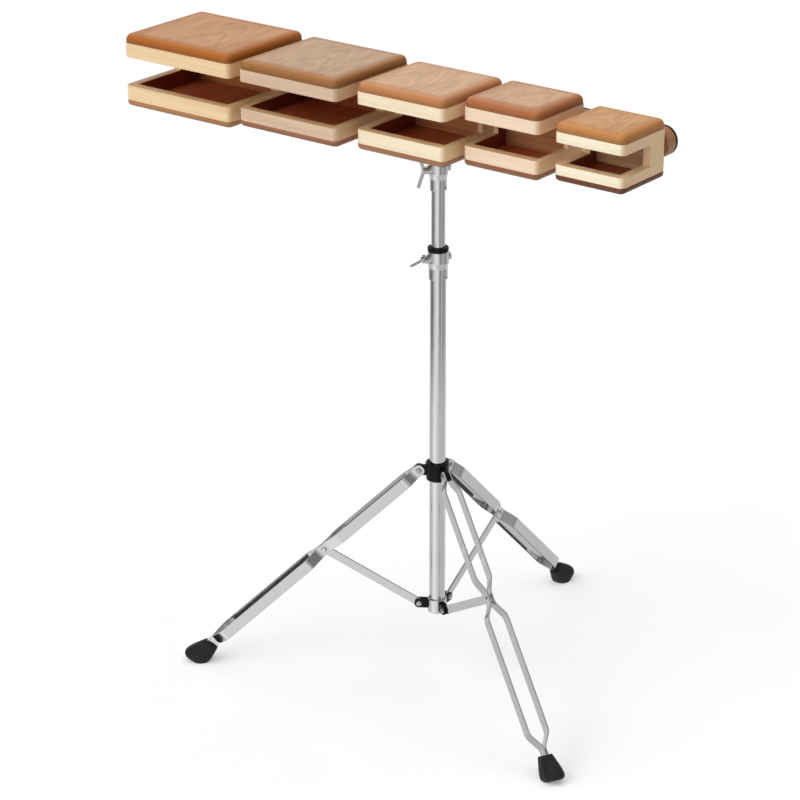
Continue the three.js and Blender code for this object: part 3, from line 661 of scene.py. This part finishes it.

# Front, grain, side and inner back colours of each block's body. The sides, which look along X, are painted a
# little darker and warmer than the fronts as painted shade, and the inner back colours are painted shade for the
# walls inside the cavity
BODY_COLOURS = [
    (rgb(242, 211, 168), rgb(222, 182, 132), rgb(234, 195, 144), rgb(220, 148, 88)),
    (rgb(220, 192, 164), rgb(196, 160, 128), rgb(216, 178, 137), rgb(186, 98, 52)),
    (rgb(249, 233, 203), rgb(232, 204, 164), rgb(238, 200, 154), rgb(240, 170, 112)),
    (rgb(245, 221, 194), rgb(225, 189, 154), rgb(232, 191, 144), rgb(226, 168, 116)),
    (rgb(251, 240, 213), rgb(236, 212, 174), rgb(240, 202, 154), rgb(228, 188, 138)),
]
# Painted shade: the rims' tops, which look up inside the mouth under the block's upper part, are painted a darker
# tan
PAINTED_SHADE_RIM_TOP = rgb(196, 158, 114)
# Partly painted light: the ends of each mouth, the cut across its walls, take a warmer colour of their own, set
# about as light as a colour goes to lift them where they stand in the mouth's shade
MOUTH_END_GRAIN_AND_LIGHT = rgb(252, 214, 172)
# Painted shade: the dark brown of the walls inside each cavity, and of their grain
PAINTED_SHADE_BROWN = rgb(150, 72, 40)

# Edge, grain and inner face colours of each block's bottom plate; the inner face, the floor of the cavity, is
# redder than the edge
BOTTOM_COLOURS = [
    (rgb(176, 128, 80), rgb(128, 80, 46), rgb(216, 114, 68)),
    (rgb(158, 108, 74), rgb(112, 68, 42), rgb(218, 114, 68)),
    (rgb(172, 128, 88), rgb(124, 82, 52), rgb(210, 110, 66)),
    (rgb(152, 102, 70), rgb(108, 66, 42), rgb(222, 116, 60)),
    (rgb(108, 60, 32), rgb(78, 42, 24), rgb(160, 66, 34)),
]


# Blocks

BLOCKS = range(1, len(TOP_COLOURS) + 1)


def slab(width, depth, thickness, corner, turnover):
    """A slab with round corners, its upper edges turned over and its lower edges just eased."""
    upper_edge = arc((turnover, thickness - turnover), turnover, 180, 90)
    profile = [(PLATE_EDGE, 0), (0, PLATE_EDGE), *upper_edge]
    rings = []
    for inset, z in profile:
        ring = rounded_rectangle(width - 2 * inset, depth - 2 * inset, max(corner - inset, turnover / 2))
        rings.append([(x, y, z) for x, y in ring])
    return loft(rings)


def levels(node, axis, keep):
    """The heights that a node's kept corners lie at along an axis, from low to high."""
    return sorted({round(corner[axis], LEVEL_DIGITS) for corner in corners_of(node) if keep(corner)})


def body_shape(node):
    """A block's hollow body, a box with round corners, open above and below, with a mouth across its front.

    Comes with the corners of the space inside it."""
    low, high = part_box(node)
    front = low.y + (high.y - low.y) / 3
    bottom, mouth_low, mouth_high, top = levels(node, 2, lambda corner: corner.y < front)
    mouth_end = levels(node, 1, lambda corner: abs(corner.z - mouth_low) < FIT)[-1]

    def at_bottom(corner):
        return abs(corner.z - bottom) < FIT and low.x + FIT < corner.x < high.x - FIT

    r = BLOCK_CORNER
    spans = []
    for axis in (0, 1):
        inside = [at for at in levels(node, axis, at_bottom) if low[axis] + r < at < high[axis] - r]
        spans.append((inside[0], inside[-1]))
    (left, right), (near, far) = spans

    outer_front = [(low.x, mouth_end)] + arc((low.x + r, low.y + r), r, 180, 270)
    outer_front += arc((high.x - r, low.y + r), r, 270, 360) + [(high.x, mouth_end)]
    outer_back = [(high.x, mouth_end)] + arc((high.x - r, high.y - r), r, 0, 90)
    outer_back += arc((low.x + r, high.y - r), r, 90, 180) + [(low.x, mouth_end)]
    inner_front = [(left, mouth_end), (left, near), (right, near), (right, mouth_end)]
    inner_back = [(right, mouth_end), (right, far), (left, far), (left, mouth_end)]

    polygons = []
    for z in (bottom, mouth_low, mouth_high, top):
        polygons.append([(x, y, z) for x, y in outer_front + inner_front[::-1]])
    for z in (bottom, top):
        polygons.append([(x, y, z) for x, y in outer_back + inner_back[::-1]])
    for path in (outer_front, inner_front):
        for (ax, ay), (bx, by) in zip(path, path[1:]):
            for z, above in ((bottom, mouth_low), (mouth_high, top)):
                polygons.append([(ax, ay, z), (bx, by, z), (bx, by, above), (ax, ay, above)])
    for path in (outer_back, inner_back):
        for index, (start, end) in enumerate(zip(path, path[1:])):
            wall = [(*start, bottom), (*end, bottom)]
            if index == len(path) - 2:
                wall += [(*end, mouth_low), (*end, mouth_high)]
            wall += [(*end, top), (*start, top)]
            if index == 0:
                wall += [(*start, mouth_high), (*start, mouth_low)]
            polygons.append(wall)
    for outside, inside in ((low.x, left), (high.x, right)):
        polygons.append([
            (outside, mouth_end, mouth_low), (inside, mouth_end, mouth_low),
            (inside, mouth_end, mouth_high), (outside, mouth_end, mouth_high),
        ])
    vertices = list(dict.fromkeys(point for wall in polygons for point in wall))
    index_of = {point: index for index, point in enumerate(vertices)}
    shape = vertices, [[index_of[point] for point in wall] for wall in polygons]
    return shape, (Vector((left, near)), Vector((right, far)))


def make_block(number):
    name = f"block_{number}"
    front, grain, side, inner = BODY_COLOURS[number - 1]
    # Painted shade: the maple's sides are a little darker and warmer than its fronts, and its rims' tops a darker
    # tan
    maple = plain_wood(f"maple_{number}", front, grain, side, PAINTED_SHADE_RIM_TOP)
    # Painted shade on the walls inside the cavity, darker and redder than the maple outside
    painted_shade_inside = plain_wood(f"lining_{number}", inner, PAINTED_SHADE_BROWN, PAINTED_SHADE_BROWN)
    mouth_end = plain_wood(f"mouth_end_{number}", MOUTH_END_GRAIN_AND_LIGHT, grain)
    shape, (low, high) = body_shape(f"{name}_body")
    box = cut(bevel(solid(shape), BODY_EDGE), screw_hole(f"{name}_bolt"))
    body = dress(box, f"{name}_body", maple, painted_shade_inside, mouth_end)
    # Faces inside the body take the painted shade of the inside, and the ends of the mouth a colour of their own
    for face in body.data.polygons:
        inside = low.x - FIT < face.center.x < high.x + FIT and low.y - FIT < face.center.y < high.y + FIT
        if inside and abs(face.normal.z) < RIM_SLOPE:
            face.material_index = 1
        elif face.normal.y < END_FACING and face.center.y > low.y:
            face.material_index = 2

    low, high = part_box(f"{name}_top_plate")
    size, middle = high - low, (low + high) / 2
    heart = (middle.x + HEART_OFFSETS[number - 1] * size.x, low.y, high.z - HEART_DEPTH)
    wood = veneer(f"cherry_top_{number}", low, high, heart, *TOP_COLOURS[number - 1])
    place = Matrix.Translation((middle.x, middle.y, low.z))
    dress(solid(slab(*size, TOP_CORNER, TOP_ROUND), place), f"{name}_top_plate", wood)

    low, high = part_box(f"{name}_bottom_plate")
    size, middle = high - low, (low + high) / 2
    place = Matrix.Translation((middle.x, middle.y, high.z)) @ Matrix.Rotation(math.pi, 4, "X")
    edge, grain, inner_face = BOTTOM_COLOURS[number - 1]
    bottom_wood = plain_wood(f"stained_{number}", edge, grain, upper=inner_face)
    dress(solid(slab(*size, BLOCK_CORNER, BOTTOM_ROUND), place), f"{name}_bottom_plate", bottom_wood)

    make_screw(f"{name}_bolt", solid(prism(polygon(HEX_SIDES, HEX_SOCKET), -RECESS_DEPTH, RECESS_DEPTH)))


def screw_measures(node):
    """A frame on a screw's head, Z to the back, the radii of head and shank, and where seat and tip lie."""
    low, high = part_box(node)
    middle = Vector(((low.x + high.x) / 2, high.y, (low.z + high.z) / 2))
    head, tip = (high.x - low.x) / 2, low.y - high.y
    corners = [corner - middle for corner in corners_of(node)]
    shank = max(corner.x for corner in corners if corner.y < tip + FIT)
    seat = min(corner.y for corner in corners if abs(corner.x + head) < FIT)
    return Matrix.Translation(middle) @ BACKWARD, head, shank, seat, tip


def screw_hole(node):
    """A bar about a screw's shank, to cut the hole that the screw sits in."""
    place, _, shank, _, tip = screw_measures(node)
    return round_bar(shank + FIT, tip - FIT, 0, place)


def make_screw(node, recess):
    """A round-headed screw along -Y whose head has a recess. The recess comes about the origin, along Z."""
    place, head, shank, seat, tip = screw_measures(node)
    corner = eased([(0, 0), (head, 0), (head, seat), (shank, seat)], HEAD_EASE, closed=False)
    screw = solid(lathe([*corner, (shank, tip), (0, tip)], SMALL_ROUND), place)
    recess.data.transform(place)
    dress(cut(screw, recess), node, steel)


# Rail and bracket

def make_rail():
    screws = [*(f"block_{number}_bolt" for number in BLOCKS), *BRACKET_SCREWS]
    for node, edge, material in (("rail_board", RAIL_EDGE, rail_wood), ("rail_strip", STRIP_EDGE, paint)):
        low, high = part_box(node)
        radius = (high.z - low.z) / 2
        outline = bar(high.x - low.x - 2 * radius, radius)
        place = Matrix.Translation((low.x + radius, high.y, low.z + radius)) @ UPRIGHT
        plank = bevel(solid(prism(outline, 0, high.y - low.y), place), edge)
        dress(cut(plank, *(screw_hole(screw) for screw in screws)), node, material)


def make_bracket():
    low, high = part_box("rail_bracket")
    middle = (low.z + high.z) / 2
    bore = radius_of("top_rod") + FIT
    centre = Vector((MAST.x, MAST.y, middle))
    outline = rounded_rectangle(high.x - low.x, BRACKET_HEIGHT, BRACKET_CORNER)
    plate_place = Matrix.Translation((MAST.x, low.y + BRACKET_PLATE, middle)) @ UPRIGHT
    plate = bevel(solid(prism(outline, 0, BRACKET_PLATE), plate_place), STRIP_EDGE)
    half = (high.z - low.z) / 2
    socket = pipe(bore, bore + SOCKET_WALL, -half, half, Matrix.Translation(centre), CLAMP_EASE)
    reach, boss_from = high.y - MAST.y, bore + SOCKET_WALL / 4
    boss_wall = [(CLAMP_BOSS_RADIUS, boss_from), (CLAMP_BOSS_RADIUS, reach), (0, reach)]
    boss_profile = [(0, boss_from), *eased(boss_wall, CLAMP_EASE, closed=False)]
    back = pointing(centre, Vector((0, 1, 0)))
    boss = solid(lathe(boss_profile, SMALL_ROUND), back)
    holes = [screw_hole(screw) for screw in BRACKET_SCREWS]
    holes.append(round_bar(WING_SHANK + FIT, 0, 2 * reach, back))
    dress(cut(join(plate, socket, boss), *holes), "rail_bracket", paint)
    for screw in BRACKET_SCREWS:
        slots = [
            solid(prism(rounded_rectangle(*size, CROSS_WIDTH / 4), -RECESS_DEPTH, RECESS_DEPTH))
            for size in ((2 * CROSS_LENGTH, 2 * CROSS_WIDTH), (2 * CROSS_WIDTH, 2 * CROSS_LENGTH))
        ]
        make_screw(screw, join(*slots))


# Mast

def make_tube(node):
    low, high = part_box(node)
    outer = radius_of(node)
    dress(pipe(outer - TUBE_WALL, outer, low.z, high.z, MAST_PLACE, TUBE_EASE), node, chrome)


def make_rod():
    rod = round_bar(radius_of("top_rod"), rod_low.z, rod_high.z, MAST_PLACE, ROUND, CLAMP_EASE)
    dress(rod, "top_rod", chrome)


def make_wing(node, joint, seat, tip, roll):
    """A wing bolt along its joint's axis. Its hub starts at the seat, and its wings lie in one plane."""
    place = pointing(joint_place(joint), joint_axis(joint)) @ Matrix.Rotation(math.radians(roll), 4, "Z")
    profile = [
        (0, tip), (WING_SHANK, tip), (WING_SHANK, seat), (WING_HUB_RADIUS, seat),
        (WING_HUB_TIP, seat + WING_HUB_LENGTH), (0, seat + WING_HUB_LENGTH),
    ]
    hub = solid(lathe(eased(profile, CLAMP_EASE, closed=False), SMALL_ROUND), place)
    centre = (WING_SPREAD - WING_TIP, seat + WING_REACH - WING_TIP)
    outer_end = arc(centre, WING_TIP, -WING_LEAN, 180 - WING_LEAN)
    outline = [(0, seat + WING_THICKNESS), *outer_end, (0, seat + WING_HUB_LENGTH)]
    half = WING_THICKNESS / 2
    wings = []
    for side in (0, 180):
        turn = place @ Matrix.Rotation(math.radians(side), 4, "Z") @ UPRIGHT
        wings.append(bevel(solid(prism(outline, -half, half), turn), WING_EDGE))
    dress(join(hub, *wings), node, chrome)


def make_bracket_wing():
    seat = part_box("rail_bracket")[1].y - MAST.y + FIT
    tip = radius_of("top_rod") + FIT
    make_wing("bracket_wing_bolt", "bracket_wing_turn", seat, tip, BRACKET_WING_ROLL)


def make_clamp(name, tube_node, joint, roll):
    bore = radius_of(tube_node) + FIT
    sleeve, head = bore + CLAMP_SLEEVE_WALL, bore + CLAMP_HEAD_WALL
    boss_end, pad_end = head + CLAMP_BOSS_REACH, head + CLAMP_PAD_REACH
    low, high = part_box(f"{name}_clamp_body")
    flare = low.z + CLAMP_SLEEVE + CLAMP_FLARE
    wall = [
        (bore, low.z), (sleeve, low.z), (sleeve, low.z + CLAMP_SLEEVE), (head, flare),
        (head, high.z), (bore, high.z),
    ]
    casting = solid(lathe(eased(wall, CLAMP_EASE)), MAST_PLACE)
    axis = joint_axis(joint)
    out = pointing(joint_place(joint), axis)
    boss = round_bar(CLAMP_BOSS_RADIUS, -pad_end, boss_end, out, ease=CLAMP_EASE)
    boss = cut(boss, round_bar(bore, low.z, high.z, MAST_PLACE, ROUND))
    reach = 2 * boss_end
    across = pointing(Vector((MAST.x, MAST.y, low.z)), axis.cross(UP))
    arch = round_bar(CLAMP_ARCH, -reach, reach, across, ROUND)
    hole = round_bar(WING_SHANK + FIT, -reach, reach, out)
    dress(cut(join(casting, boss), arch, hole), f"{name}_clamp_body", chrome)

    nut_end = pad_end + FIT + NUT_THICKNESS
    hexagon = prism(polygon(HEX_SIDES, NUT_ACROSS_FLATS / math.sqrt(3)), -nut_end, -pad_end - FIT)
    nut = bevel(solid(hexagon, out), NUT_EDGE)
    dress(join(nut, round_bar(WING_SHANK, -nut_end, -bore, out)), f"{name}_clamp_nut", chrome)
    make_wing(f"{name}_clamp_wing_bolt", joint, boss_end + FIT, bore, roll)


def make_bush(name, inner_node):
    node = f"{name}_clamp_bush"
    low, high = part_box(node)
    bore, flange = radius_of(inner_node) + FIT, radius_of(node)
    body_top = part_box(f"{name}_clamp_body")[1].z
    corners = [corner - MAST for corner in corners_of(node)]
    neck = max(math.hypot(corner.x, corner.y) for corner in corners if corner.z < body_top)
    step = body_top + GLUE_LINE
    wall = [(bore, low.z), (neck, low.z), (neck, step), (flange, step), (flange, high.z), (bore, high.z)]
    dress(solid(lathe(eased(wall, BUSH_EASE)), MAST_PLACE), node, nylon)


# Collars

def rivet_hole(reach, place):
    return round_bar(RIVET_RADIUS + FIT, -reach, reach, place)


def lug(place, reach, root, radius, thickness, y, edge):
    """A plate from a collar's wall to a round end with a rivet hole, in a frame along the leg's azimuth."""
    outline = [(root, -radius), *arc((reach, 0), radius, -90, 90, 2 * CORNER_STEPS), (root, radius)]
    raised = place @ Matrix.Translation((0, y, 0)) @ UPRIGHT
    ear = bevel(solid(prism(outline, -thickness / 2, thickness / 2), raised), edge)
    return cut(ear, rivet_hole(thickness, raised @ Matrix.Translation((reach, 0, 0))))


def leg_direction(name):
    """The level direction from the mast to a leg."""
    return joint_axis(f"{name}_leg_fold").cross(UP)


def lug_place(joint, leg):
    """A frame on the mast at a joint's height, X towards the leg, and how far out the joint lies."""
    pivot = joint_place(joint)
    centre = Vector((MAST.x, MAST.y, pivot.z))
    return spanning(centre, leg_direction(leg), joint_axis(f"{leg}_leg_fold")), (pivot - centre).length


def make_leg_collar():
    low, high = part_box("leg_collar")
    inner = radius_of("base_tube") + FIT
    outer = inner + COLLAR_WALL
    root = inner + COLLAR_WALL / 2
    ring = pipe(inner, outer, low.z, high.z, MAST_PLACE, COLLAR_EASE)
    parts = []
    for name in LEGS:
        place, reach = lug_place(f"{name}_leg_fold", name)
        parts.append(lug(place, reach, root, LUG_RADIUS, LUG_THICKNESS, 0, LUG_EDGE))
    out = pointing(joint_place("thumb_screw_turn"), joint_axis("thumb_screw_turn"))
    boss_end = outer + COLLAR_BOSS_REACH
    parts.append(round_bar(COLLAR_BOSS_RADIUS, root, boss_end, out, ease=CLAMP_EASE))
    hole = round_bar(THUMB_SHANK + FIT, 0, 2 * boss_end, out)
    dress(cut(join(ring, *parts), hole), "leg_collar", nylon)

    knob_from = boss_end + FIT
    flutes = []
    for step in range(KNOB_FLUTES * CORNER_STEPS):
        turn = 2 * math.pi * step / (KNOB_FLUTES * CORNER_STEPS)
        radius = KNOB_RADIUS - KNOB_FLUTE_DEPTH * (0.5 + 0.5 * math.cos(KNOB_FLUTES * turn))
        flutes.append((radius * math.cos(turn), radius * math.sin(turn)))
    knob = bevel(solid(prism(flutes, knob_from, knob_from + KNOB_LENGTH), out), KNOB_EDGE)
    shank = round_bar(THUMB_SHANK, inner, knob_from + KNOB_EDGE, out)
    dress(join(knob, shank), "collar_thumb_screw", chrome)


def make_brace_collar():
    low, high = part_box("brace_collar")
    inner = radius_of("base_tube") + FIT
    outer = inner + CUP_WALL
    floor = low.z + CUP_FLOOR
    wall = [(0, low.z), (outer, low.z), (outer, high.z), (inner, high.z), (inner, floor), (0, floor)]
    cup = solid(lathe(eased(wall, CLAMP_EASE, closed=False)), MAST_PLACE)
    ear_y = BRACE_THICKNESS / 2 + FIT + EAR_THICKNESS / 2
    ears = []
    for name in LEGS:
        place, reach = lug_place(f"{name}_brace_fold", name)
        for y in (-ear_y, ear_y):
            ears.append(lug(place, reach, inner + CUP_WALL / 2, EAR_RADIUS, EAR_THICKNESS, y, EAR_EDGE))
    dress(cup, "brace_collar", chrome)
    finish(join(*ears), "fine_brace_ears", BODY_OF["brace_collar"], SLOT_OF["leg_collar"], nylon)


# Legs

def leg_frame(name):
    """A frame at a leg's pivot, X down the leg, Y across it and Z outward, and its length to the floor."""
    pivot = joint_place(f"{name}_leg_fold")
    foot = MAST + FOOT_CIRCLE * leg_direction(name)
    return spanning(pivot, foot - pivot, joint_axis(f"{name}_leg_fold")), (foot - pivot).length


def dome(grip_end):
    """Half of a rivet along Z: its shank from the origin and its domed head."""
    head = [(RIVET_HEAD_RADIUS, grip_end)]
    for step in range(1, CORNER_STEPS):
        angle = math.radians(90 * step / CORNER_STEPS)
        head.append((RIVET_HEAD_RADIUS * math.cos(angle), grip_end + RIVET_HEAD * math.sin(angle)))
    return [(RIVET_RADIUS, 0), (RIVET_RADIUS, grip_end), *head, (0, grip_end + RIVET_HEAD)]


def rivet(grip):
    """A rivet about Z with a domed head at each end of its grip."""
    upper = dome(grip / 2)
    lower = [(radius, -z) for radius, z in upper[:0:-1]]
    return lathe(lower + upper[1:], SMALL_ROUND)


def strap_shape(side, foot_top):
    """One strap of a leg in the leg's frame: a flat strip, bent in to the lug, the brace and the foot."""
    half = STRAP_THICKNESS / 2
    at_lug = LUG_THICKNESS / 2 + FIT + half
    at_brace = BRACE_THICKNESS / 2 + FIT + half
    at_foot = FIT + half
    end_radius = STRAP_WIDTH / 2
    path = eased([
        (0, at_lug), (TOP_JOGGLE_FROM, at_lug), (TOP_JOGGLE_TO, STRAP_UPPER_SPREAD),
        (BRACE_ON_LEG - PINCH_REACH, STRAP_UPPER_SPREAD), (BRACE_ON_LEG - PINCH_FLAT, at_brace),
        (BRACE_ON_LEG + PINCH_FLAT, at_brace), (BRACE_ON_LEG + PINCH_REACH, STRAP_LOWER_SPREAD),
        (foot_top - FOOT_JOGGLE, STRAP_LOWER_SPREAD), (foot_top - 2 * STRAP_BEND, at_foot),
        (foot_top + FOOT_GRIP, at_foot),
    ], STRAP_BEND, closed=False)
    rows = []
    for step in range(1, CORNER_STEPS):
        angle = math.radians(90 * step / CORNER_STEPS)
        rows.append((Vector((-end_radius * math.cos(angle), at_lug)), end_radius * math.sin(angle)))
    rows += [(Vector(point), end_radius) for point in path]
    rings = []
    for i, (point, width) in enumerate(rows):
        before, after = rows[max(i - 1, 0)][0], rows[min(i + 1, len(rows) - 1)][0]
        along = (after - before).normalized()
        across = Vector((-along.y, along.x)) * half
        inner, outer = point - across, point + across
        corners = [(inner, -width), (outer, -width), (outer, width), (inner, width)]
        rings.append([(corner.x, side * corner.y, z) for corner, z in corners])
    return loft(rings)


def foot_section(share):
    """The size of the boot at a share of the way through its sections, on a smooth curve through them."""
    last = len(FOOT_SECTIONS) - 1
    index = min(int(share), last - 1)
    t = share - index
    a, b, c, d = (Vector(FOOT_SECTIONS[max(0, min(last, index + step))]) for step in (-1, 0, 1, 2))
    tangent_in, tangent_out = (c - a) / 2, (d - b) / 2
    start = b * (2 * t ** 3 - 3 * t ** 2 + 1) + tangent_in * (t ** 3 - 2 * t ** 2 + t)
    section = start + c * (3 * t ** 2 - 2 * t ** 3) + tangent_out * (t ** 3 - t ** 2)
    return Vector([min(size, max(ends)) for size, *ends in zip(section, b, c)]) * MM


def foot_shape(place, foot_top):
    """A boot round a leg's end, pressed level where it meets the floor."""
    rings = []
    for step in range(FOOT_STEPS * (len(FOOT_SECTIONS) - 1) + 1):
        along, depth, width = foot_section(step / FOOT_STEPS)
        width, depth = width - 2 * FOOT_SKIN, depth - 2 * FOOT_SKIN
        section = rounded_rectangle(width, depth, min(width, depth) * FOOT_CORNER)
        ring = [place @ Vector((foot_top + along + y * FOOT_TILT, x, y)) for x, y in section]
        rings.append([(point.x, point.y, max(point.z, 0)) for point in ring])
    return loft(rings)


def make_leg(name):
    place, length = leg_frame(name)
    foot_top = length - FOOT_RISE
    across = joint_axis(f"{name}_leg_fold")
    pivot = pointing(joint_place(f"{name}_leg_fold"), across)
    head_from = BRACE_THICKNESS / 2 + FIT + STRAP_THICKNESS / 2
    for letter, side in (("a", -1), ("b", 1)):
        strap = bevel(solid(strap_shape(side, foot_top), place), STRAP_EDGE, segments=2)
        strap = cut(strap, rivet_hole(STRAP_LOWER_SPREAD, pivot))
        head_place = pointing(place @ Vector((BRACE_ON_LEG, side * head_from, 0)), side * across)
        head = solid(lathe([(0, 0), *dome(STRAP_THICKNESS / 2)], SMALL_ROUND), head_place)
        dress(join(strap, head), f"{name}_leg_strap_{letter}", chrome)
    boot = solid(foot_shape(place, foot_top))
    boot.data.validate()
    dress(boot, f"{name}_foot", rubber)
    lug_grip = LUG_THICKNESS + 2 * (FIT + STRAP_THICKNESS + GLUE_LINE)
    dress(solid(rivet(lug_grip), pivot), f"{name}_leg_rivet", steel)

    brace_pivot = joint_place(f"{name}_brace_fold")
    brace_end = place @ Vector((BRACE_ON_LEG, 0, 0))
    brace_length = (brace_end - brace_pivot).length
    brace_place = spanning(brace_pivot, brace_end - brace_pivot, across) @ UPRIGHT
    half = BRACE_THICKNESS / 2
    brace = bevel(solid(prism(bar(brace_length, BRACE_WIDTH / 2), -half, half), brace_place), BRACE_EDGE)
    ends = (Matrix.Translation((x, 0, 0)) for x in (0, brace_length))
    brace = cut(brace, *(rivet_hole(BRACE_THICKNESS, brace_place @ end) for end in ends))
    dress(brace, f"{name}_brace", chrome)
    ear_grip = BRACE_THICKNESS + 2 * (FIT + EAR_THICKNESS + GLUE_LINE)
    dress(solid(rivet(ear_grip), pointing(brace_pivot, across)), f"{name}_brace_rivet", steel)


# Floor, light and camera

FLOOR_REACH = 14.0
FLOOR_GLOW = 0.28  # what the camera sees added to the lit floor, so that it reads as white
FLOOR_TONES = (0.69, 0.72)
FLOOR_PATCHES = 6.0
WORLD_LIGHT = 0.15
# Soft lamps: azimuth, height and spread in degrees, and strength
LAMPS = {
    "front": (-120, 28, 60, 1.75),
    "above": (-60, 82, 90, 2.1),
}

# What polished metal sees round the studio, level and farther down: azimuth in degrees and brightness
STUDIO = [
    (-180, 0.62), (-172, 0.42), (-165, 0.16), (-143, 0.15), (-125, 0.30), (-109, 0.52), (-94, 0.74),
    (-73, 0.85), (-54, 0.84), (-39, 0.46), (-25, 0.24), (-10, 0.38), (4, 0.48), (20, 0.32), (38, 0.28),
    (58, 0.48), (75, 0.62), (92, 0.50), (108, 0.50), (128, 0.72), (160, 0.62), (180, 0.62),
]
STUDIO_DOWN = [
    (-180, 0.62), (-165, 0.57), (-143, 0.62), (-125, 0.80), (-109, 0.97), (-94, 0.95), (-80, 0.89),
    (-66, 0.79), (-52, 0.67), (-39, 0.62), (-25, 0.60), (4, 0.58), (20, 0.55), (39, 0.58), (60, 0.60),
    (92, 0.80), (106, 0.40), (114, 0.05), (140, 0.05), (150, 0.40), (160, 0.64), (180, 0.62),
]
STUDIO_BORDER = (-0.388, -0.366)  # the heights between which the one goes over into the other
# The same from straight down to straight up: height and share of the brightness
STUDIO_HEIGHTS = [(-1.0, 0.85), (-0.2, 1.0), (0.05, 1.0), (0.3, 0.55), (0.6, 0.6), (1.0, 1.0)]


def ramp(tree, value, stops):
    node = add(tree, "ShaderNodeValToRGB", {"Fac": value})
    elements = node.color_ramp.elements
    for position, brightness in stops[1:-1]:
        elements.new(position).color = grey(brightness)
    for element, (position, brightness) in ((elements[0], stops[0]), (elements[-1], stops[-1])):
        element.position = position
        element.color = grey(brightness)
    return node.outputs[0]


def make_world():
    world = bpy.data.worlds.new("studio")
    world.use_nodes = True
    bpy.context.scene.world = world
    tree = world.node_tree
    tree.nodes.clear()
    direction = add(tree, "ShaderNodeTexCoord").outputs["Generated"]
    sides = add(tree, "ShaderNodeSeparateXYZ", {0: direction}).outputs
    azimuth = add(tree, "ShaderNodeMath", {0: sides[1], 1: sides[0]}, operation="ARCTAN2").outputs[0]
    turn = remap(tree, azimuth, -math.pi, math.pi)
    level, down = (
        ramp(tree, turn, [(0.5 + angle / 360, brightness) for angle, brightness in stops])
        for stops in (STUDIO, STUDIO_DOWN)
    )
    around = mix(tree, remap(tree, sides[2], *STUDIO_BORDER), down, level)
    upward = ramp(
        tree, remap(tree, sides[2], -1.0, 1.0),
        [(0.5 + height / 2, share) for height, share in STUDIO_HEIGHTS],
    )
    seen = add(tree, "ShaderNodeBackground", {"Color": mix(tree, 1.0, around, upward, "MULTIPLY")}).outputs[0]
    soft = add(tree, "ShaderNodeBackground", {"Strength": WORLD_LIGHT, "Color": WHITE}).outputs[0]
    white = add(tree, "ShaderNodeBackground", {"Color": WHITE}).outputs[0]
    path = add(tree, "ShaderNodeLightPath").outputs
    light = add(tree, "ShaderNodeMixShader", {0: path["Is Glossy Ray"], 1: soft, 2: seen}).outputs[0]
    shown = add(tree, "ShaderNodeMixShader", {0: path["Is Camera Ray"], 1: light, 2: white}).outputs[0]
    add(tree, "ShaderNodeOutputWorld", {"Surface": shown})


def make_floor():
    material, tree, shader = new_material(
        "pale_floor", Roughness=0.9, Specular_IOR_Level=0.1, Emission_Color=WHITE,
    )
    place = add(tree, "ShaderNodeTexCoord").outputs["Object"]
    tone = mix(tree, noise(tree, place, FLOOR_PATCHES), *(grey(tone) for tone in FLOOR_TONES))
    seen = add(tree, "ShaderNodeLightPath").outputs["Is Camera Ray"]
    glow = add(tree, "ShaderNodeMath", {0: seen, 1: FLOOR_GLOW}, operation="MULTIPLY").outputs[0]
    feed(tree, shader, Base_Color=tone, Emission_Strength=glow)
    corners = [(x, y, 0) for x, y in polygon(ROUND, FLOOR_REACH)]
    floor = solid((corners, [list(range(ROUND))]), name="floor")
    floor.data.materials.append(material)
    floor.visible_glossy = False


def make_lights():
    for name, (azimuth, height, spread, strength) in LAMPS.items():
        data = bpy.data.lights.new(name, "SUN")
        data.angle = math.radians(spread)
        data.energy = strength
        lamp = bpy.data.objects.new(name, data)
        lamp.visible_glossy = False
        lamp.rotation_euler = (math.radians(90 - height), 0, math.radians(azimuth + 90))
        bpy.context.scene.collection.objects.link(lamp)


def make_camera():
    yaw, pitch, roll = (math.radians(angle) for angle in (CAMERA_YAW, CAMERA_PITCH, CAMERA_ROLL))
    forward = Vector((-math.sin(yaw) * math.cos(pitch), math.cos(yaw) * math.cos(pitch), -math.sin(pitch)))
    level = Vector((math.cos(yaw), math.sin(yaw), 0))
    down = forward.cross(level)
    right = math.cos(roll) * level + math.sin(roll) * down
    above = right.cross(forward)
    data = bpy.data.cameras.new("camera")
    data.lens = CAMERA_LENS
    camera = bpy.data.objects.new("camera", data)
    turn = Matrix((right, above, -forward)).transposed()
    camera.matrix_world = Matrix.Translation(CAMERA_PLACE) @ turn.to_4x4()
    bpy.context.scene.collection.objects.link(camera)
    bpy.context.scene.camera = camera


make_camera()
make_world()
make_floor()
make_lights()
bpy.context.scene.view_settings.view_transform = "Standard"

for number in BLOCKS:
    make_block(number)
make_rail()
make_bracket()
make_tube("base_tube")
make_tube("middle_tube")
make_rod()
make_clamp("lower", "base_tube", "lower_wing_turn", LOWER_WING_ROLL)
make_clamp("upper", "middle_tube", "upper_wing_turn", UPPER_WING_ROLL)
make_bush("lower", "middle_tube")
make_bush("upper", "top_rod")
make_bracket_wing()
make_leg_collar()
make_brace_collar()
for name in LEGS:
    make_leg(name)
